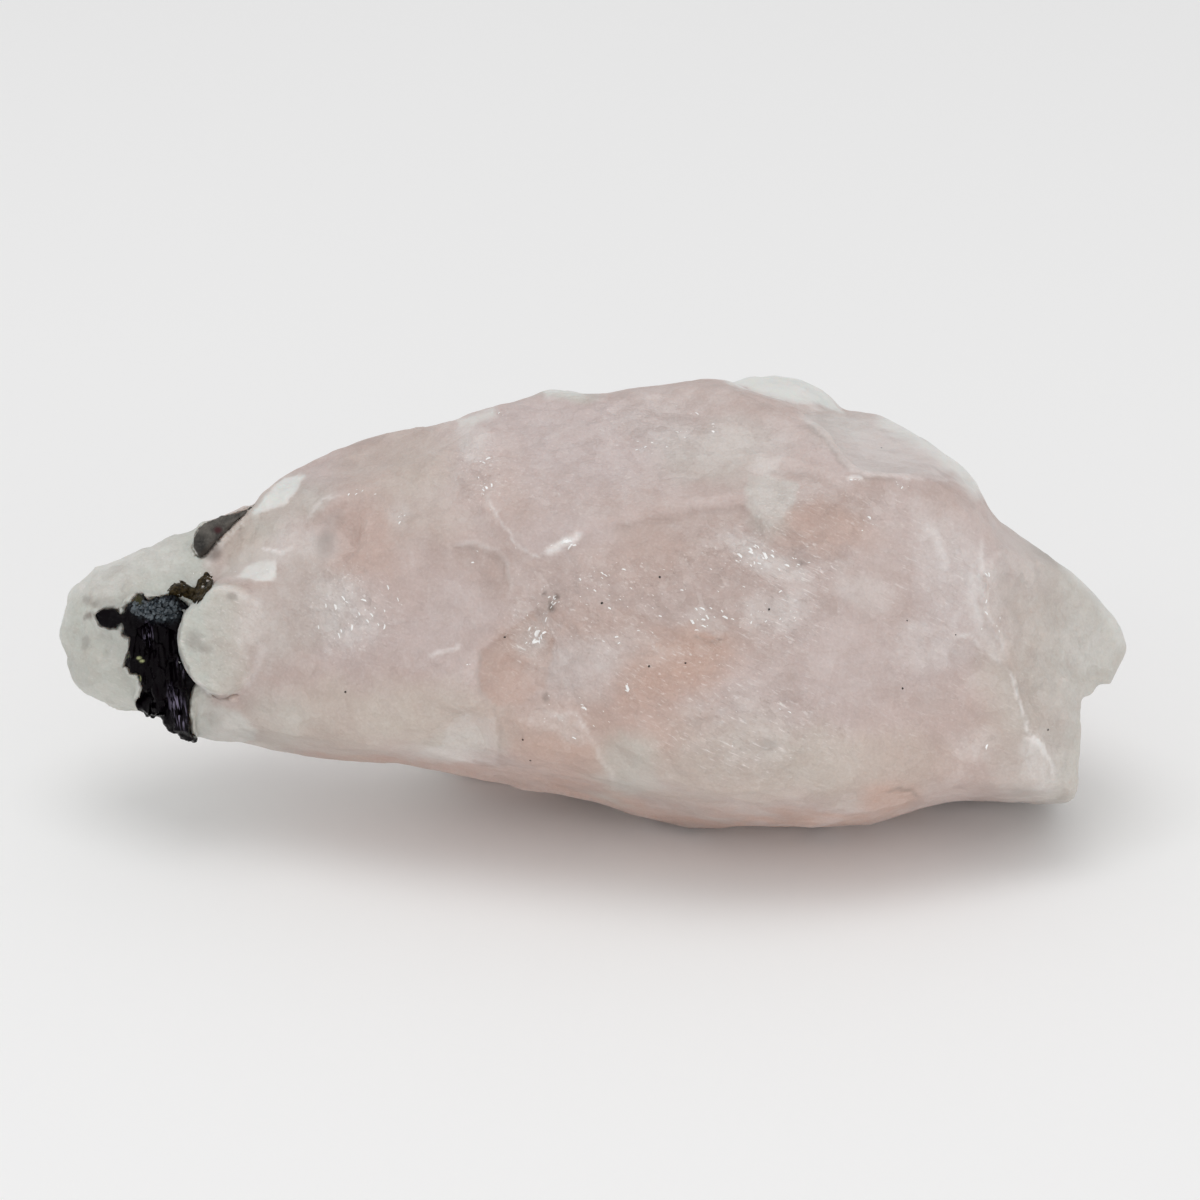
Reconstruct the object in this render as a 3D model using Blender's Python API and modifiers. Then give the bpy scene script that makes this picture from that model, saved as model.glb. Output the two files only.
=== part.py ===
"""A rough piece of rose quartz with black tourmaline grown into a cleft at one end.

The stone is drawn in millimetres the way it is looked at: X to the right, Z up, and Y away from the eye, so the
side that is seen has the lowest Y. It is then tipped back, because it was looked at from above, cut flat where it
rests, and made its real size in metres, with +Z up and the origin under the middle of the stone.
"""

import math
import random

import bmesh
import bpy
import numpy as np
from mathutils import Matrix, Vector, noise

# Driving dimensions, in millimetres and degrees.
LENGTH = 110.0
DRAWN_LENGTH = 110.0
LOOKED_AT_FROM = 25.0
GAP = 0.3
REST_CUT = 3.0

# How finely the stone is carved, and how many triangles are kept of each piece.
QUARTZ_GRAIN = 0.65
FINISH_GRAIN = 0.5
CRYSTAL_GRAIN = 0.4
QUARTZ_TRIANGLES = 7300
TOURMALINE_TRIANGLES = 1000
BLADE_TRIANGLES = 260
POCKET_TRIANGLES = 700
SEED = 20
NOISE_SHIFT = Vector((31.4, 17.3, 43.7))

# The body's outline from the front, left to right.
BODY_TOP = [
    (-42.0, -4.0), (-40.6, 1.0), (-38.0, 5.7), (-35.3, 9.3), (-33.9, 11.3), (-30.3, 13.9), (-25.6, 16.0),
    (-22.0, 17.1), (-17.6, 17.7), (-13.7, 18.4), (-11.0, 19.6), (-7.8, 20.2), (-4.5, 21.8), (-2.1, 21.5),
    (0.1, 20.9), (3.9, 21.7), (10.2, 22.5), (13.8, 22.6), (17.0, 21.4), (20.3, 20.7), (24.4, 19.6),
    (26.0, 20.0), (30.2, 19.1), (34.0, 16.4), (37.3, 14.4), (39.6, 11.7), (40.6, 8.8), (44.2, 6.4),
    (49.1, 3.1), (51.7, 0.3), (53.6, -2.0), (55.0, -4.6),
]
BODY_BOTTOM = [
    (-42.0, -6.2), (-41.4, -12.4), (-40.2, -14.8), (-35.8, -14.7), (-31.6, -16.0), (-25.9, -16.5),
    (-19.9, -16.8), (-15.8, -17.3), (-9.6, -18.9), (-3.5, -19.8), (0.7, -20.8), (4.9, -22.4), (10.2, -23.5),
    (13.2, -23.6), (15.4, -23.1), (18.9, -23.2), (28.1, -22.9), (33.8, -21.3), (37.6, -20.4), (42.2, -20.6),
    (48.0, -20.8), (50.5, -20.4), (52.6, -12.0), (53.2, -8.2), (54.2, -6.4), (55.0, -5.2),
]
# How near to the eye the body comes and how far from it it goes, left to right.
BODY_NEAR = [
    (-42.0, -1.0), (-38.0, -7.0), (-30.0, -12.0), (-20.0, -17.0), (-8.0, -20.0), (4.0, -22.5), (16.0, -24.0),
    (28.0, -23.0), (38.0, -20.0), (46.0, -15.5), (52.0, -9.0), (55.0, -4.0),
]
BODY_FAR = [
    (-42.0, 3.5), (-38.0, 6.5), (-28.0, 9.5), (-14.0, 14.0), (0.0, 19.5), (18.0, 25.5), (32.0, 26.0),
    (44.0, 20.0), (52.0, 10.0), (55.0, 1.0),
]

# The pale lobe at the left end.
LOBE_TOP = [
    (-55.0, -3.4), (-54.7, -1.9), (-54.4, 0.0), (-53.6, 1.6), (-51.4, 3.2), (-47.3, 4.8), (-43.1, 6.6),
    (-39.3, 7.6), (-34.0, 8.0), (-30.0, 5.0),
]
LOBE_BOTTOM = [
    (-55.0, -4.3), (-54.2, -5.7), (-53.3, -8.7), (-51.6, -10.2), (-48.4, -11.4), (-45.6, -11.6),
    (-43.5, -12.7), (-40.2, -14.0), (-34.0, -14.0), (-30.0, -10.0),
]
LOBE_NEAR = [(-55.0, -1.0), (-52.0, -4.5), (-47.0, -6.0), (-40.0, -6.5), (-30.0, -6.0)]
LOBE_FAR = [(-55.0, 1.0), (-52.0, 4.5), (-47.0, 8.0), (-40.0, 11.0), (-30.0, 12.0)]

# The pale lump that hangs over the black crystals.
LUMP_TOP = [
    (-43.0, -4.1), (-42.3, -1.2), (-41.0, -0.2), (-39.3, 1.8), (-36.5, 3.0), (-33.0, 3.5), (-28.0, 0.0),
]
LUMP_BOTTOM = [
    (-43.0, -4.6), (-42.4, -6.9), (-40.5, -8.8), (-38.4, -9.9), (-36.1, -9.2), (-33.5, -7.6), (-28.0, -3.0),
]
LUMP_NEAR = [(-43.0, -9.0), (-41.5, -12.0), (-37.0, -12.6), (-33.0, -11.0), (-28.0, -8.0)]
LUMP_FAR = [(-43.0, -7.0), (-41.5, -5.0), (-37.0, -2.0), (-28.0, -2.0)]

# Pale pieces that show behind the crest: middle and half sizes.
BEHIND_CREST = [
    ((18.6, 7.0, 18.6), (7.2, 6.5, 4.9)),
    ((-3.2, 3.0, 19.0), (3.0, 3.5, 2.9)),
    ((-11.0, 3.0, 16.8), (3.4, 3.5, 2.6)),
]

# A low swelling under the far side, out of sight, that the stone also rests on: middle and half sizes.
FOOT = ((-4.0, 13.5, -11.3), (14.0, 9.0, 8.8))

# The corner missing from the right end: its inner corner from the front, and how far it leans.
NOTCH_CORNER = (49.9, -8.3)
NOTCH_LEAN = 4.0

# The black crystals' outline from the front, and how near and how far they reach.
TOURMALINE_OUTLINE = [
    (-44.0, 0.6), (-45.5, 0.3), (-47.0, 0.9), (-48.1, -0.3), (-48.7, -1.4), (-49.6, -0.8), (-50.9, -1.0),
    (-51.5, -1.5), (-50.9, -2.6), (-49.6, -3.0), (-48.6, -2.7), (-48.8, -3.7), (-47.8, -3.9), (-47.9, -5.2),
    (-48.5, -6.6), (-47.9, -7.5), (-47.0, -7.7), (-46.7, -9.3), (-47.2, -10.5), (-45.6, -12.1),
    (-44.1, -12.3), (-42.6, -13.9), (-40.8, -14.6), (-41.3, -12.0), (-41.0, -9.5), (-38.4, -8.0),
    (-37.6, -5.0), (-38.4, -1.0), (-39.6, 1.4), (-39.6, 2.6), (-40.6, 2.4), (-41.2, 1.2), (-42.6, 1.6),
]
TOURMALINE_NEAR = -7.8
TOURMALINE_FAR = 1.5
# Where the upright grooves between the black prisms start, left to right.
STRIATIONS = [-47.0, -45.9, -44.6, -43.4, -42.0]

# The grey blade's outline from the front, and how near and how far it reaches.
BLADE_OUTLINE = [
    (-41.2, 5.0), (-41.1, 6.7), (-40.4, 7.6), (-37.8, 8.4), (-35.6, 9.4), (-34.6, 8.6), (-36.6, 7.4),
    (-38.2, 5.8), (-39.7, 4.6), (-40.8, 4.2),
]
BLADE_NEAR = -5.2
BLADE_FAR = 1.0

# The edges and hollows carved into the side that is seen, all drawn from the front.
CHIP = [
    (19.0, 21.5), (20.4, 19.6), (23.8, 17.0), (25.2, 14.9), (26.3, 13.3), (31.4, 12.6), (37.3, 13.0), (41.0, 11.0),
]
LONG_LEDGE = [
    (-3.5, 5.7), (0.7, 7.8), (5.8, 8.5), (9.9, 9.5), (15.1, 10.0), (16.7, 8.5), (18.0, 7.2), (19.6, 9.1),
]
CENTRE_CREASE = [(-11.3, 11.3), (-9.6, 8.2), (-7.6, 5.4), (-5.7, 4.4), (-3.5, 5.4), (-1.4, 6.7)]
SMALL_LEDGE = [(17.0, 13.4), (20.4, 13.3), (23.2, 12.7)]
CLEAR_RIDGE = [(-30.5, 9.0), (-28.6, 8.8), (-25.7, 10.2), (-22.0, 11.5)]
PLATE_EDGE = [(-16.2, -10.7), (-11.7, -10.7), (-11.8, -5.2), (-8.6, -2.6), (-4.7, 0.0)]
MIDDLE_LEDGE = [(4.5, -1.8), (6.9, -2.6), (9.9, -3.8), (13.6, -3.6), (16.5, -2.6)]
LOWER_HUMP = [(5.8, -22.2), (2.7, -19.6), (0.7, -16.0), (-0.4, -13.9), (-3.5, -10.3)]
END_BRANCH = [(35.0, -3.2), (36.5, -3.4), (38.6, -3.7), (41.2, -5.9), (42.6, -6.3)]
FRONT_EDGE = [
    (-34.0, -14.6), (-31.3, -15.0), (-19.9, -15.2), (-9.6, -16.4), (-3.5, -16.5), (0.7, -17.5), (5.8, -21.0),
]

# The broad flat breaks of the side that is seen: three points of each, and how round its edges are.
# The pale right end falls away behind a long crease, and the big face lies in front of it.
CREASE_TOP = (40.3, -15.5, 5.0)
CREASE_FOOT = (47.0, -11.0, -18.0)
RIGHT_END_FACE = (CREASE_TOP, CREASE_FOOT, (55.0, -2.5, -5.0), 0.2)
BIG_FACE = (CREASE_TOP, CREASE_FOOT, (20.0, -22.0, -5.0), 0.3)
# The upper slab leans back from the long ledge to the crest.
UPPER_SLAB = ((-8.0, -17.5, 9.0), (16.0, -21.5, 9.5), (5.0, -10.0, 21.0), 0.6)
UPPER_LEFT_SLOPE = ((-34.0, -8.0, 6.0), (-13.0, -14.5, 11.0), (-22.0, -6.5, 16.5), 0.6)
SMOOTH_LEFT_FACE = ((-34.0, -9.5, 3.0), (-12.0, -17.5, 4.0), (-20.0, -15.5, -12.0), 0.8)
# The underside that shows below the front edge.
UNDERSIDE = ((-12.0, -11.5, -16.3), (2.0, -14.8, -18.0), (-4.0, -3.0, -20.2), 0.3)
FRONT_FACES = [RIGHT_END_FACE, BIG_FACE, UPPER_SLAB, UPPER_LEFT_SLOPE, SMOOTH_LEFT_FACE, UNDERSIDE]
# The floor of the chip, the clear facet at the upper left, and the face of the pale lump.
CHIP_FLOOR = ((27.0, -18.0, 13.0), (37.0, -15.0, 12.4), (29.0, 3.0, 19.6), 0.2)
CLEAR_FACET = ((-34.8, -6.0, 9.0), (-30.0, -8.6, 9.6), (-30.5, -1.5, 13.6), 0.2)
LUMP_FACE = ((-42.5, -11.0, -4.0), (-35.5, -12.6, 0.0), (-37.0, -12.2, -9.0), 0.3)

# The shallow hollows of the side that is seen: middle, half sizes, depth and turn.
SMUDGE_HOLLOW = ((-25.9, 6.4), (3.0, 1.8), 1.2, 35.0)
SHELL_HOLLOW = ((-15.0, -1.5), (7.0, 7.4), 0.9, 10.0)
LOWER_HOLLOW = ((-6.0, -8.0), (5.2, 4.2), 1.0, 20.0)
SPARKLING_PIT = ((-4.4, -0.2), (1.5, 2.2), 1.5, -30.0)
UNDERCUT = ((30.9, -22.4), (3.2, 2.9), 1.5, 0.0)

# The broad faces of the far side, three points of each.
FAR_FACES = [
    ((-34.0, 6.0, 8.0), (-6.0, 11.5, 19.0), (-20.0, 13.0, 2.0)),
    ((8.0, 23.5, 8.0), (28.0, 23.5, 10.0), (16.0, 12.0, 21.5)),
    ((30.0, 24.0, 2.0), (46.0, 16.5, 3.0), (36.0, 14.0, 14.5)),
    ((-30.0, 9.5, -6.0), (2.0, 20.5, -8.0), (-14.0, 13.0, -18.0)),
    ((8.0, 25.0, -4.0), (30.0, 25.0, -6.0), (18.0, 19.0, -20.0)),
    ((36.0, 22.0, -6.0), (50.0, 11.5, -8.0), (42.0, 15.5, -19.0)),
]

QUARTZ_PINK = (0.52, 0.38, 0.33)
TOURMALINE_BLACK = (0.012, 0.009, 0.013)
BLADE_GREY = (0.055, 0.05, 0.045)


def clear_scene():
    for leftover in list(bpy.data.objects):
        bpy.data.objects.remove(leftover, do_unlink=True)


def new_collection(name, rendered):
    collection = bpy.data.collections.new(name)
    collection.hide_render = not rendered
    bpy.context.scene.collection.children.link(collection)
    return collection


def new_material(name, colour, roughness):
    material = bpy.data.materials.new(name)
    material.use_nodes = True
    shader = material.node_tree.nodes["Principled BSDF"]
    shader.inputs["Base Color"].default_value = (*colour, 1.0)
    shader.inputs["Roughness"].default_value = roughness
    shader.inputs["Metallic"].default_value = 0.0
    return material


def smooth_step(value):
    """0 below 0, 1 above 1, and a soft S between them."""
    value = np.clip(value, 0.0, 1.0)
    return value * value * (3.0 - 2.0 * value)


def height_at(outline, x):
    """The height of an open outline at x, along straight lines between its points."""
    for (x0, z0), (x1, z1) in zip(outline, outline[1:]):
        if x <= x1:
            share = max(0.0, (x - x0) / (x1 - x0))
            return z0 + (z1 - z0) * share
    return outline[-1][1]


def fuller(value):
    """Pushes a sine or cosine outwards, so that a section is a little squarer than an ellipse."""
    return math.copysign(abs(value) ** 0.7, value)


def mesh_from(shape, name):
    """Turns a bmesh into a mesh and frees it."""
    bmesh.ops.recalc_face_normals(shape, faces=shape.faces)
    mesh = bpy.data.meshes.new(name)
    shape.to_mesh(mesh)
    shape.free()
    return mesh


def with_modifier(mesh, kind, **settings):
    """The mesh that one modifier makes of this mesh."""
    helper = bpy.data.objects.new("helper", mesh)
    bpy.context.scene.collection.objects.link(helper)
    modifier = helper.modifiers.new(kind.title(), kind)
    for setting, value in settings.items():
        setattr(modifier, setting, value)
    graph = bpy.context.evaluated_depsgraph_get()
    made = bpy.data.meshes.new_from_object(helper.evaluated_get(graph))
    bpy.data.objects.remove(helper, do_unlink=True)
    return made


def without_crumbs(mesh):
    """Keeps the largest of a mesh's separate pieces."""
    shape = bmesh.new()
    shape.from_mesh(mesh)
    unseen = set(shape.verts)
    largest = set()
    while unseen:
        ahead = [unseen.pop()]
        piece = set(ahead)
        while ahead:
            vert = ahead.pop()
            for edge in vert.link_edges:
                other = edge.other_vert(vert)
                if other not in piece:
                    piece.add(other)
                    ahead.append(other)
        unseen -= piece
        largest = max(largest, piece, key=len)
    crumbs = [vert for vert in shape.verts if vert not in largest]
    bmesh.ops.delete(shape, geom=crumbs, context="VERTS")
    return mesh_from(shape, mesh.name)


def remeshed(mesh, grain):
    """One closed skin of even faces around everything in the mesh."""
    return without_crumbs(with_modifier(mesh, "REMESH", mode="VOXEL", voxel_size=grain))


def thinned(mesh, triangles):
    """Fewer triangles: large ones where the skin is flat, small ones along its edges."""
    mesh.calc_loop_triangles()
    share = triangles / len(mesh.loop_triangles)
    return with_modifier(mesh, "DECIMATE", ratio=share, use_collapse_triangulate=True)


def shaped_stone(shape, top, bottom, near, far):
    """Adds a ball, stretched until it fills an outline seen from the front and a plan seen from above."""
    ball = bmesh.ops.create_icosphere(shape, subdivisions=6, radius=1.0)["verts"]
    first = top[0][0]
    last = top[-1][0]
    for vert in ball:
        x = first + (last - first) * (vert.co.x + 1.0) / 2.0
        across = max(1e-6, math.hypot(vert.co.y, vert.co.z))
        up = fuller(vert.co.z / across)
        away = fuller(vert.co.y / across)
        low = height_at(bottom, x)
        high = height_at(top, x)
        front = height_at(near, x)
        back = height_at(far, x)
        vert.co = (x, (back + front + (back - front) * away) / 2.0, (high + low + (high - low) * up) / 2.0)


def round_lump(shape, middle, half_sizes):
    """Adds a plain lump."""
    ball = bmesh.ops.create_icosphere(shape, subdivisions=4, radius=1.0)["verts"]
    bmesh.ops.transform(
        shape, verts=ball, matrix=Matrix.Translation(middle) @ Matrix.Diagonal((*half_sizes, 1.0))
    )


def extruded_outline(name, outline, near, far):
    """A flat closed outline, seen from the front, made solid between two depths."""
    curve = bpy.data.curves.new(name, "CURVE")
    curve.dimensions = "2D"
    curve.fill_mode = "BOTH"
    curve.extrude = (far - near) / 2.0
    spline = curve.splines.new("POLY")
    spline.points.add(len(outline) - 1)
    for point, (x, z) in zip(spline.points, outline):
        point.co = (x, z, 0.0, 1.0)
    spline.use_cyclic_u = True
    helper = bpy.data.objects.new(name, curve)
    bpy.context.scene.collection.objects.link(helper)
    graph = bpy.context.evaluated_depsgraph_get()
    mesh = bpy.data.meshes.new_from_object(helper.evaluated_get(graph))
    bpy.data.objects.remove(helper, do_unlink=True)
    # The curve lies flat, so it is stood up to face the eye.
    stood_up = Matrix.Translation((0.0, (far + near) / 2.0, 0.0)) @ Matrix.Rotation(math.pi / 2.0, 4, "X")
    mesh.transform(stood_up)
    shape = bmesh.new()
    shape.from_mesh(mesh)
    bmesh.ops.remove_doubles(shape, verts=shape.verts, dist=1e-4)
    return mesh_from(shape, name)


class Skin:
    """The points of a mesh, cut and pushed one stroke at a time."""

    def __init__(self, mesh):
        self.mesh = mesh
        count = len(mesh.vertices)
        flat = np.empty(count * 3, np.float32)
        mesh.vertices.foreach_get("co", flat)
        self.x, self.y, self.z = flat.astype(np.float64).reshape(-1, 3).T.copy()

    def facing(self, side):
        """How far each point's skin faces the eye (side -1) or away from it (side 1), 0 to 1."""
        self.store()
        flat = np.empty(len(self.x) * 3, np.float32)
        self.mesh.vertices.foreach_get("normal", flat)
        return smooth_step(flat.reshape(-1, 3)[:, 1].astype(np.float64) * side / 0.4)

    def store(self):
        points = np.stack([self.x, self.y, self.z], axis=1)
        self.mesh.vertices.foreach_set("co", points.astype(np.float32).ravel())
        self.mesh.update()

    def press(self, point, normal, edge=0.35, where=1.0, most=100.0):
        """Flattens what stands out past a plane, by the given distance at most, with edges rounded by about edge."""
        px, py, pz = point
        length = math.sqrt(normal[0] ** 2 + normal[1] ** 2 + normal[2] ** 2)
        nx, ny, nz = (part / length for part in normal)
        out = (self.x - px) * nx + (self.y - py) * ny + (self.z - pz) * nz
        over = (out + np.sqrt(out * out + edge * edge)) / 2.0
        over = np.where(out > -4.0 * edge, np.minimum(over, most), 0.0) * where
        self.x -= over * nx
        self.y -= over * ny
        self.z -= over * nz

    def facet(self, a, b, c, edge=0.35, where=1.0, side=-1):
        """A flat broken face through three points of the skin, on the side of the eye (-1) or the other one (1)."""
        a, b, c = Vector(a), Vector(b), Vector(c)
        normal = (b - a).cross(c - a)
        if normal.y * side < 0.0:
            normal.negate()
        self.press(a, normal, edge, where)

    def from_path(self, path):
        """Each point's distance to a line seen from the front, its side (1 above), and how far along it is."""
        best = np.full(len(self.x), 1e9)
        reach = np.zeros(len(self.x))
        along = np.zeros(len(self.x))
        lengths = [math.dist(a, b) for a, b in zip(path, path[1:])]
        walked = 0.0
        for (x0, z0), (x1, z1), length in zip(path, path[1:], lengths):
            dx = (x1 - x0) / length
            dz = (z1 - z0) / length
            run = np.clip((self.x - x0) * dx + (self.z - z0) * dz, 0.0, length)
            square = (self.x - x0 - run * dx) ** 2 + (self.z - z0 - run * dz) ** 2
            above = dx * (self.z - z0) - dz * (self.x - x0)
            nearer = (square < best - 1e-9) | ((square < best + 1e-9) & (abs(above) > abs(reach)))
            best = np.where(nearer, square, best)
            reach = np.where(nearer, above, reach)
            along = np.where(nearer, (walked + run) / sum(lengths), along)
            walked += length
        return np.sqrt(best), np.sign(reach), along

    def ledge(self, path, drop, run, where, rise=0.9, ends=0.15):
        """A step: the skin below a line falls drop deeper over rise, and comes out again over run."""
        distance, side, along = self.from_path(path)
        taper = smooth_step(np.minimum(along, 1.0 - along) / ends)
        fall = smooth_step(distance / rise) * smooth_step((run - distance) / (run - rise))
        self.y += np.where(side < 0, drop * fall * taper, 0.0) * where

    def ridge(self, path, height, width, where):
        """A raised edge along a line, or a groove where height is below zero."""
        distance, _, along = self.from_path(path)
        taper = smooth_step(np.minimum(along, 1.0 - along) / 0.2)
        self.y -= height * np.clip(1.0 - distance / width, 0.0, 1.0) * taper * where

    def dish(self, centre, radii, depth, turn, where):
        """A shallow round hollow with a clear rim, as a shell-like break leaves."""
        across, up = math.cos(math.radians(turn)), math.sin(math.radians(turn))
        dx = self.x - centre[0]
        dz = self.z - centre[1]
        square = ((dx * across + dz * up) / radii[0]) ** 2 + ((dz * across - dx * up) / radii[1]) ** 2
        self.y += depth * np.clip(1.0 - square, 0.0, 1.0) * where

    def flakes(self, chance, count, side, depth, reach, left=-50.0):
        """Small flat faces broken off at random over the side that faces the eye (-1) or the other one (1)."""
        for _ in range(count):
            facing = self.facing(side)
            flat = np.empty(len(self.x) * 3, np.float32)
            self.mesh.vertices.foreach_get("normal", flat)
            normals = flat.reshape(-1, 3)
            wanted_x = chance.uniform(left, 52.0)
            wanted_z = chance.uniform(-21.0, 20.0)
            tilt = [chance.uniform(-0.3, 0.3) for _ in range(3)]
            far_off = (self.x - wanted_x) ** 2 + (self.z - wanted_z) ** 2
            spot = int(np.argmin(np.where(facing > 0.8, far_off, 1e9)))
            normal = [float(part) + more for part, more in zip(normals[spot], tilt)]
            length = math.sqrt(sum(part * part for part in normal))
            sunk = chance.uniform(0.5, 1.0) * depth / length
            place = (self.x[spot], self.y[spot], self.z[spot])
            point = [at - sunk * part for at, part in zip(place, normal)]
            square = sum((axis - at) ** 2 for axis, at in zip((self.x, self.y, self.z), place))
            near_by = smooth_step(2.0 - 2.0 * np.sqrt(square) / reach)
            self.press(point, normal, 0.15, near_by * facing, 1.5 * depth)

    def grain(self, height, size):
        """A fine unevenness all over."""
        for index in range(len(self.x)):
            place = Vector((self.x[index], self.y[index], self.z[index])) / size
            self.x[index] += height * noise.noise(place)
            self.y[index] += height * noise.noise(place + NOISE_SHIFT)
            self.z[index] += height * noise.noise(place - NOISE_SHIFT)


def carve_large_faces(skin):
    """The broad flat breaks that give the body its shape."""
    for face in FRONT_FACES:
        skin.facet(*face)


def carve_far_side(skin):
    """The side that isn't seen, broken along broad faces too."""
    for a, b, c in FAR_FACES:
        skin.facet(a, b, c, 0.5, side=1)


def carve_upper_half(skin):
    # The chip at the upper right: a floor that faces up, with a wall at its left and an edge in front.
    distance, side, _ = skin.from_path(CHIP)
    inside = np.where(side > 0, smooth_step(distance / 0.9), 0.0)
    # The pale piece behind the crest keeps its height.
    inside *= 1.0 - smooth_step(skin.y / 1.5) * smooth_step((26.0 - skin.x) / 1.5)
    skin.facet(*CHIP_FLOOR, inside)
    skin.facet(*CLEAR_FACET)

    near = skin.facing(-1)
    skin.ledge(LONG_LEDGE, 1.5, 10.0, near)
    skin.ledge(CENTRE_CREASE, 1.0, 6.0, near)
    skin.ledge(SMALL_LEDGE, 0.8, 4.0, near, 0.7, 0.3)
    skin.dish(*SMUDGE_HOLLOW, near)
    skin.ridge(CLEAR_RIDGE, 0.7, 1.4, near)


def carve_lower_half(skin):
    near = skin.facing(-1)
    skin.dish(*SHELL_HOLLOW, near)
    skin.ledge(PLATE_EDGE, 1.0, 7.0, near)
    skin.dish(*LOWER_HOLLOW, near)
    skin.dish(*SPARKLING_PIT, near)
    skin.ledge(MIDDLE_LEDGE, 0.5, 5.0, near, 0.8, 0.5)
    skin.ledge(LOWER_HUMP, 1.0, 6.0, near)
    skin.ledge(END_BRANCH, 0.6, 4.0, near, 0.7, 0.3)
    # The front edge under the stone, which falls back below it.
    skin.ledge(FRONT_EDGE, 2.2, 9.0, near, 1.6)
    skin.dish(*UNDERCUT, near)


def lay_down(mesh):
    """From the drawing to the real stone: real size, tipped back from the eye."""
    tipped = Matrix.Rotation(math.radians(-LOOKED_AT_FROM), 4, "X")
    mesh.transform(Matrix.Scale(0.001 * LENGTH / DRAWN_LENGTH, 4) @ tipped)


def cut_flat(mesh, height):
    """Cuts the mesh flat at a height and closes it there."""
    shape = bmesh.new()
    shape.from_mesh(mesh)
    everything = shape.verts[:] + shape.edges[:] + shape.faces[:]
    cut = bmesh.ops.bisect_plane(
        shape, geom=everything, dist=1e-7, plane_co=(0, 0, height), plane_no=(0, 0, -1), clear_outer=True
    )
    rim = [part for part in cut["geom_cut"] if isinstance(part, bmesh.types.BMEdge)]
    bmesh.ops.edgeloop_fill(shape, edges=rim)
    bmesh.ops.recalc_face_normals(shape, faces=shape.faces)
    shape.to_mesh(mesh)
    shape.free()


def quartz_mesh():
    body = bmesh.new()
    shaped_stone(body, BODY_TOP, BODY_BOTTOM, BODY_NEAR, BODY_FAR)
    mesh = mesh_from(body, "rose_quartz")
    skin = Skin(mesh)
    carve_large_faces(skin)
    carve_far_side(skin)
    skin.store()

    rock = bmesh.new()
    rock.from_mesh(mesh)
    shaped_stone(rock, LOBE_TOP, LOBE_BOTTOM, LOBE_NEAR, LOBE_FAR)
    shaped_stone(rock, LUMP_TOP, LUMP_BOTTOM, LUMP_NEAR, LUMP_FAR)
    for middle, half_sizes in BEHIND_CREST:
        round_lump(rock, middle, half_sizes)
    round_lump(rock, *FOOT)
    mesh = remeshed(mesh_from(rock, "rose_quartz"), QUARTZ_GRAIN)
    skin = Skin(mesh)
    # The lump's face is nearly flat.
    lump = smooth_step((-32.5 - skin.x) / 1.5)
    skin.facet(*LUMP_FACE, lump)
    carve_upper_half(skin)
    carve_lower_half(skin)
    chance = random.Random(SEED)
    skin.flakes(chance, 45, 1, 0.7, 10.0, -38.0)
    skin.flakes(chance, 30, -1, 0.25, 7.0)
    skin.grain(0.3, 6.0)
    skin.grain(0.12, 1.7)
    skin.store()
    # A second skin closes the folds that the strokes leave.
    return thinned(remeshed(mesh, FINISH_GRAIN), QUARTZ_TRIANGLES)


def tourmaline_mesh():
    mesh = extruded_outline("black_tourmaline", TOURMALINE_OUTLINE, TOURMALINE_NEAR, TOURMALINE_FAR)
    mesh = remeshed(mesh, CRYSTAL_GRAIN)
    skin = Skin(mesh)
    # Three upright prism faces, and the broken end below them.
    skin.facet((-45.6, -7.7, -2.0), (-45.0, -7.7, -9.0), (-50.0, -6.3, -4.0), 0.15)
    skin.facet((-43.2, -7.6, -2.0), (-42.4, -7.6, -9.0), (-40.0, -6.0, -5.0), 0.15)
    skin.facet((-46.0, -7.2, -9.4), (-41.5, -7.2, -11.0), (-43.0, -4.6, -14.2), 0.15)
    near = skin.facing(-1)
    for across in STRIATIONS:
        skin.ridge([(across, 0.0), (across + 0.5, -6.0), (across + 1.6, -13.0)], -0.45, 0.5, near)
    skin.grain(0.25, 1.2)
    skin.store()
    return thinned(mesh, TOURMALINE_TRIANGLES)


def blade_mesh():
    mesh = extruded_outline("tourmaline_blade", BLADE_OUTLINE, BLADE_NEAR, BLADE_FAR)
    mesh = remeshed(mesh, CRYSTAL_GRAIN)
    skin = Skin(mesh)
    skin.grain(0.2, 0.9)
    skin.store()
    return thinned(mesh, BLADE_TRIANGLES)


def pocket_from(mesh, name, cutters):
    """A cutter a little larger than a crystal, for the hollow that it sits in."""
    larger = with_modifier(mesh, "DISPLACE", strength=GAP, mid_level=0.0)
    larger = thinned(remeshed(larger, CRYSTAL_GRAIN), POCKET_TRIANGLES)
    cutter = bpy.data.objects.new(name, larger)
    cutter.hide_render = True
    cutter.display_type = "WIRE"
    cutters.objects.link(cutter)
    return cutter


def notch_cutter(cutters):
    """A block with rounded edges whose upper left corner is the inner corner of the missing piece."""
    block = bmesh.new()
    bmesh.ops.create_cube(block, size=1.0)
    size = Matrix.Diagonal((16.0, 60.0, 24.0, 1.0))
    offset = Matrix.Translation((8.0, 0.0, -12.0))
    turned = Matrix.Rotation(math.radians(NOTCH_LEAN), 4, "Y")
    placed = Matrix.Translation((NOTCH_CORNER[0], 0.0, NOTCH_CORNER[1]))
    bmesh.ops.transform(block, verts=block.verts, matrix=placed @ turned @ offset @ size)
    bmesh.ops.bevel(block, geom=block.edges, offset=1.4, segments=3, affect="EDGES")
    cutter = bpy.data.objects.new("end_notch", mesh_from(block, "end_notch"))
    cutter.hide_render = True
    cutter.display_type = "WIRE"
    cutters.objects.link(cutter)
    return cutter


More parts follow.
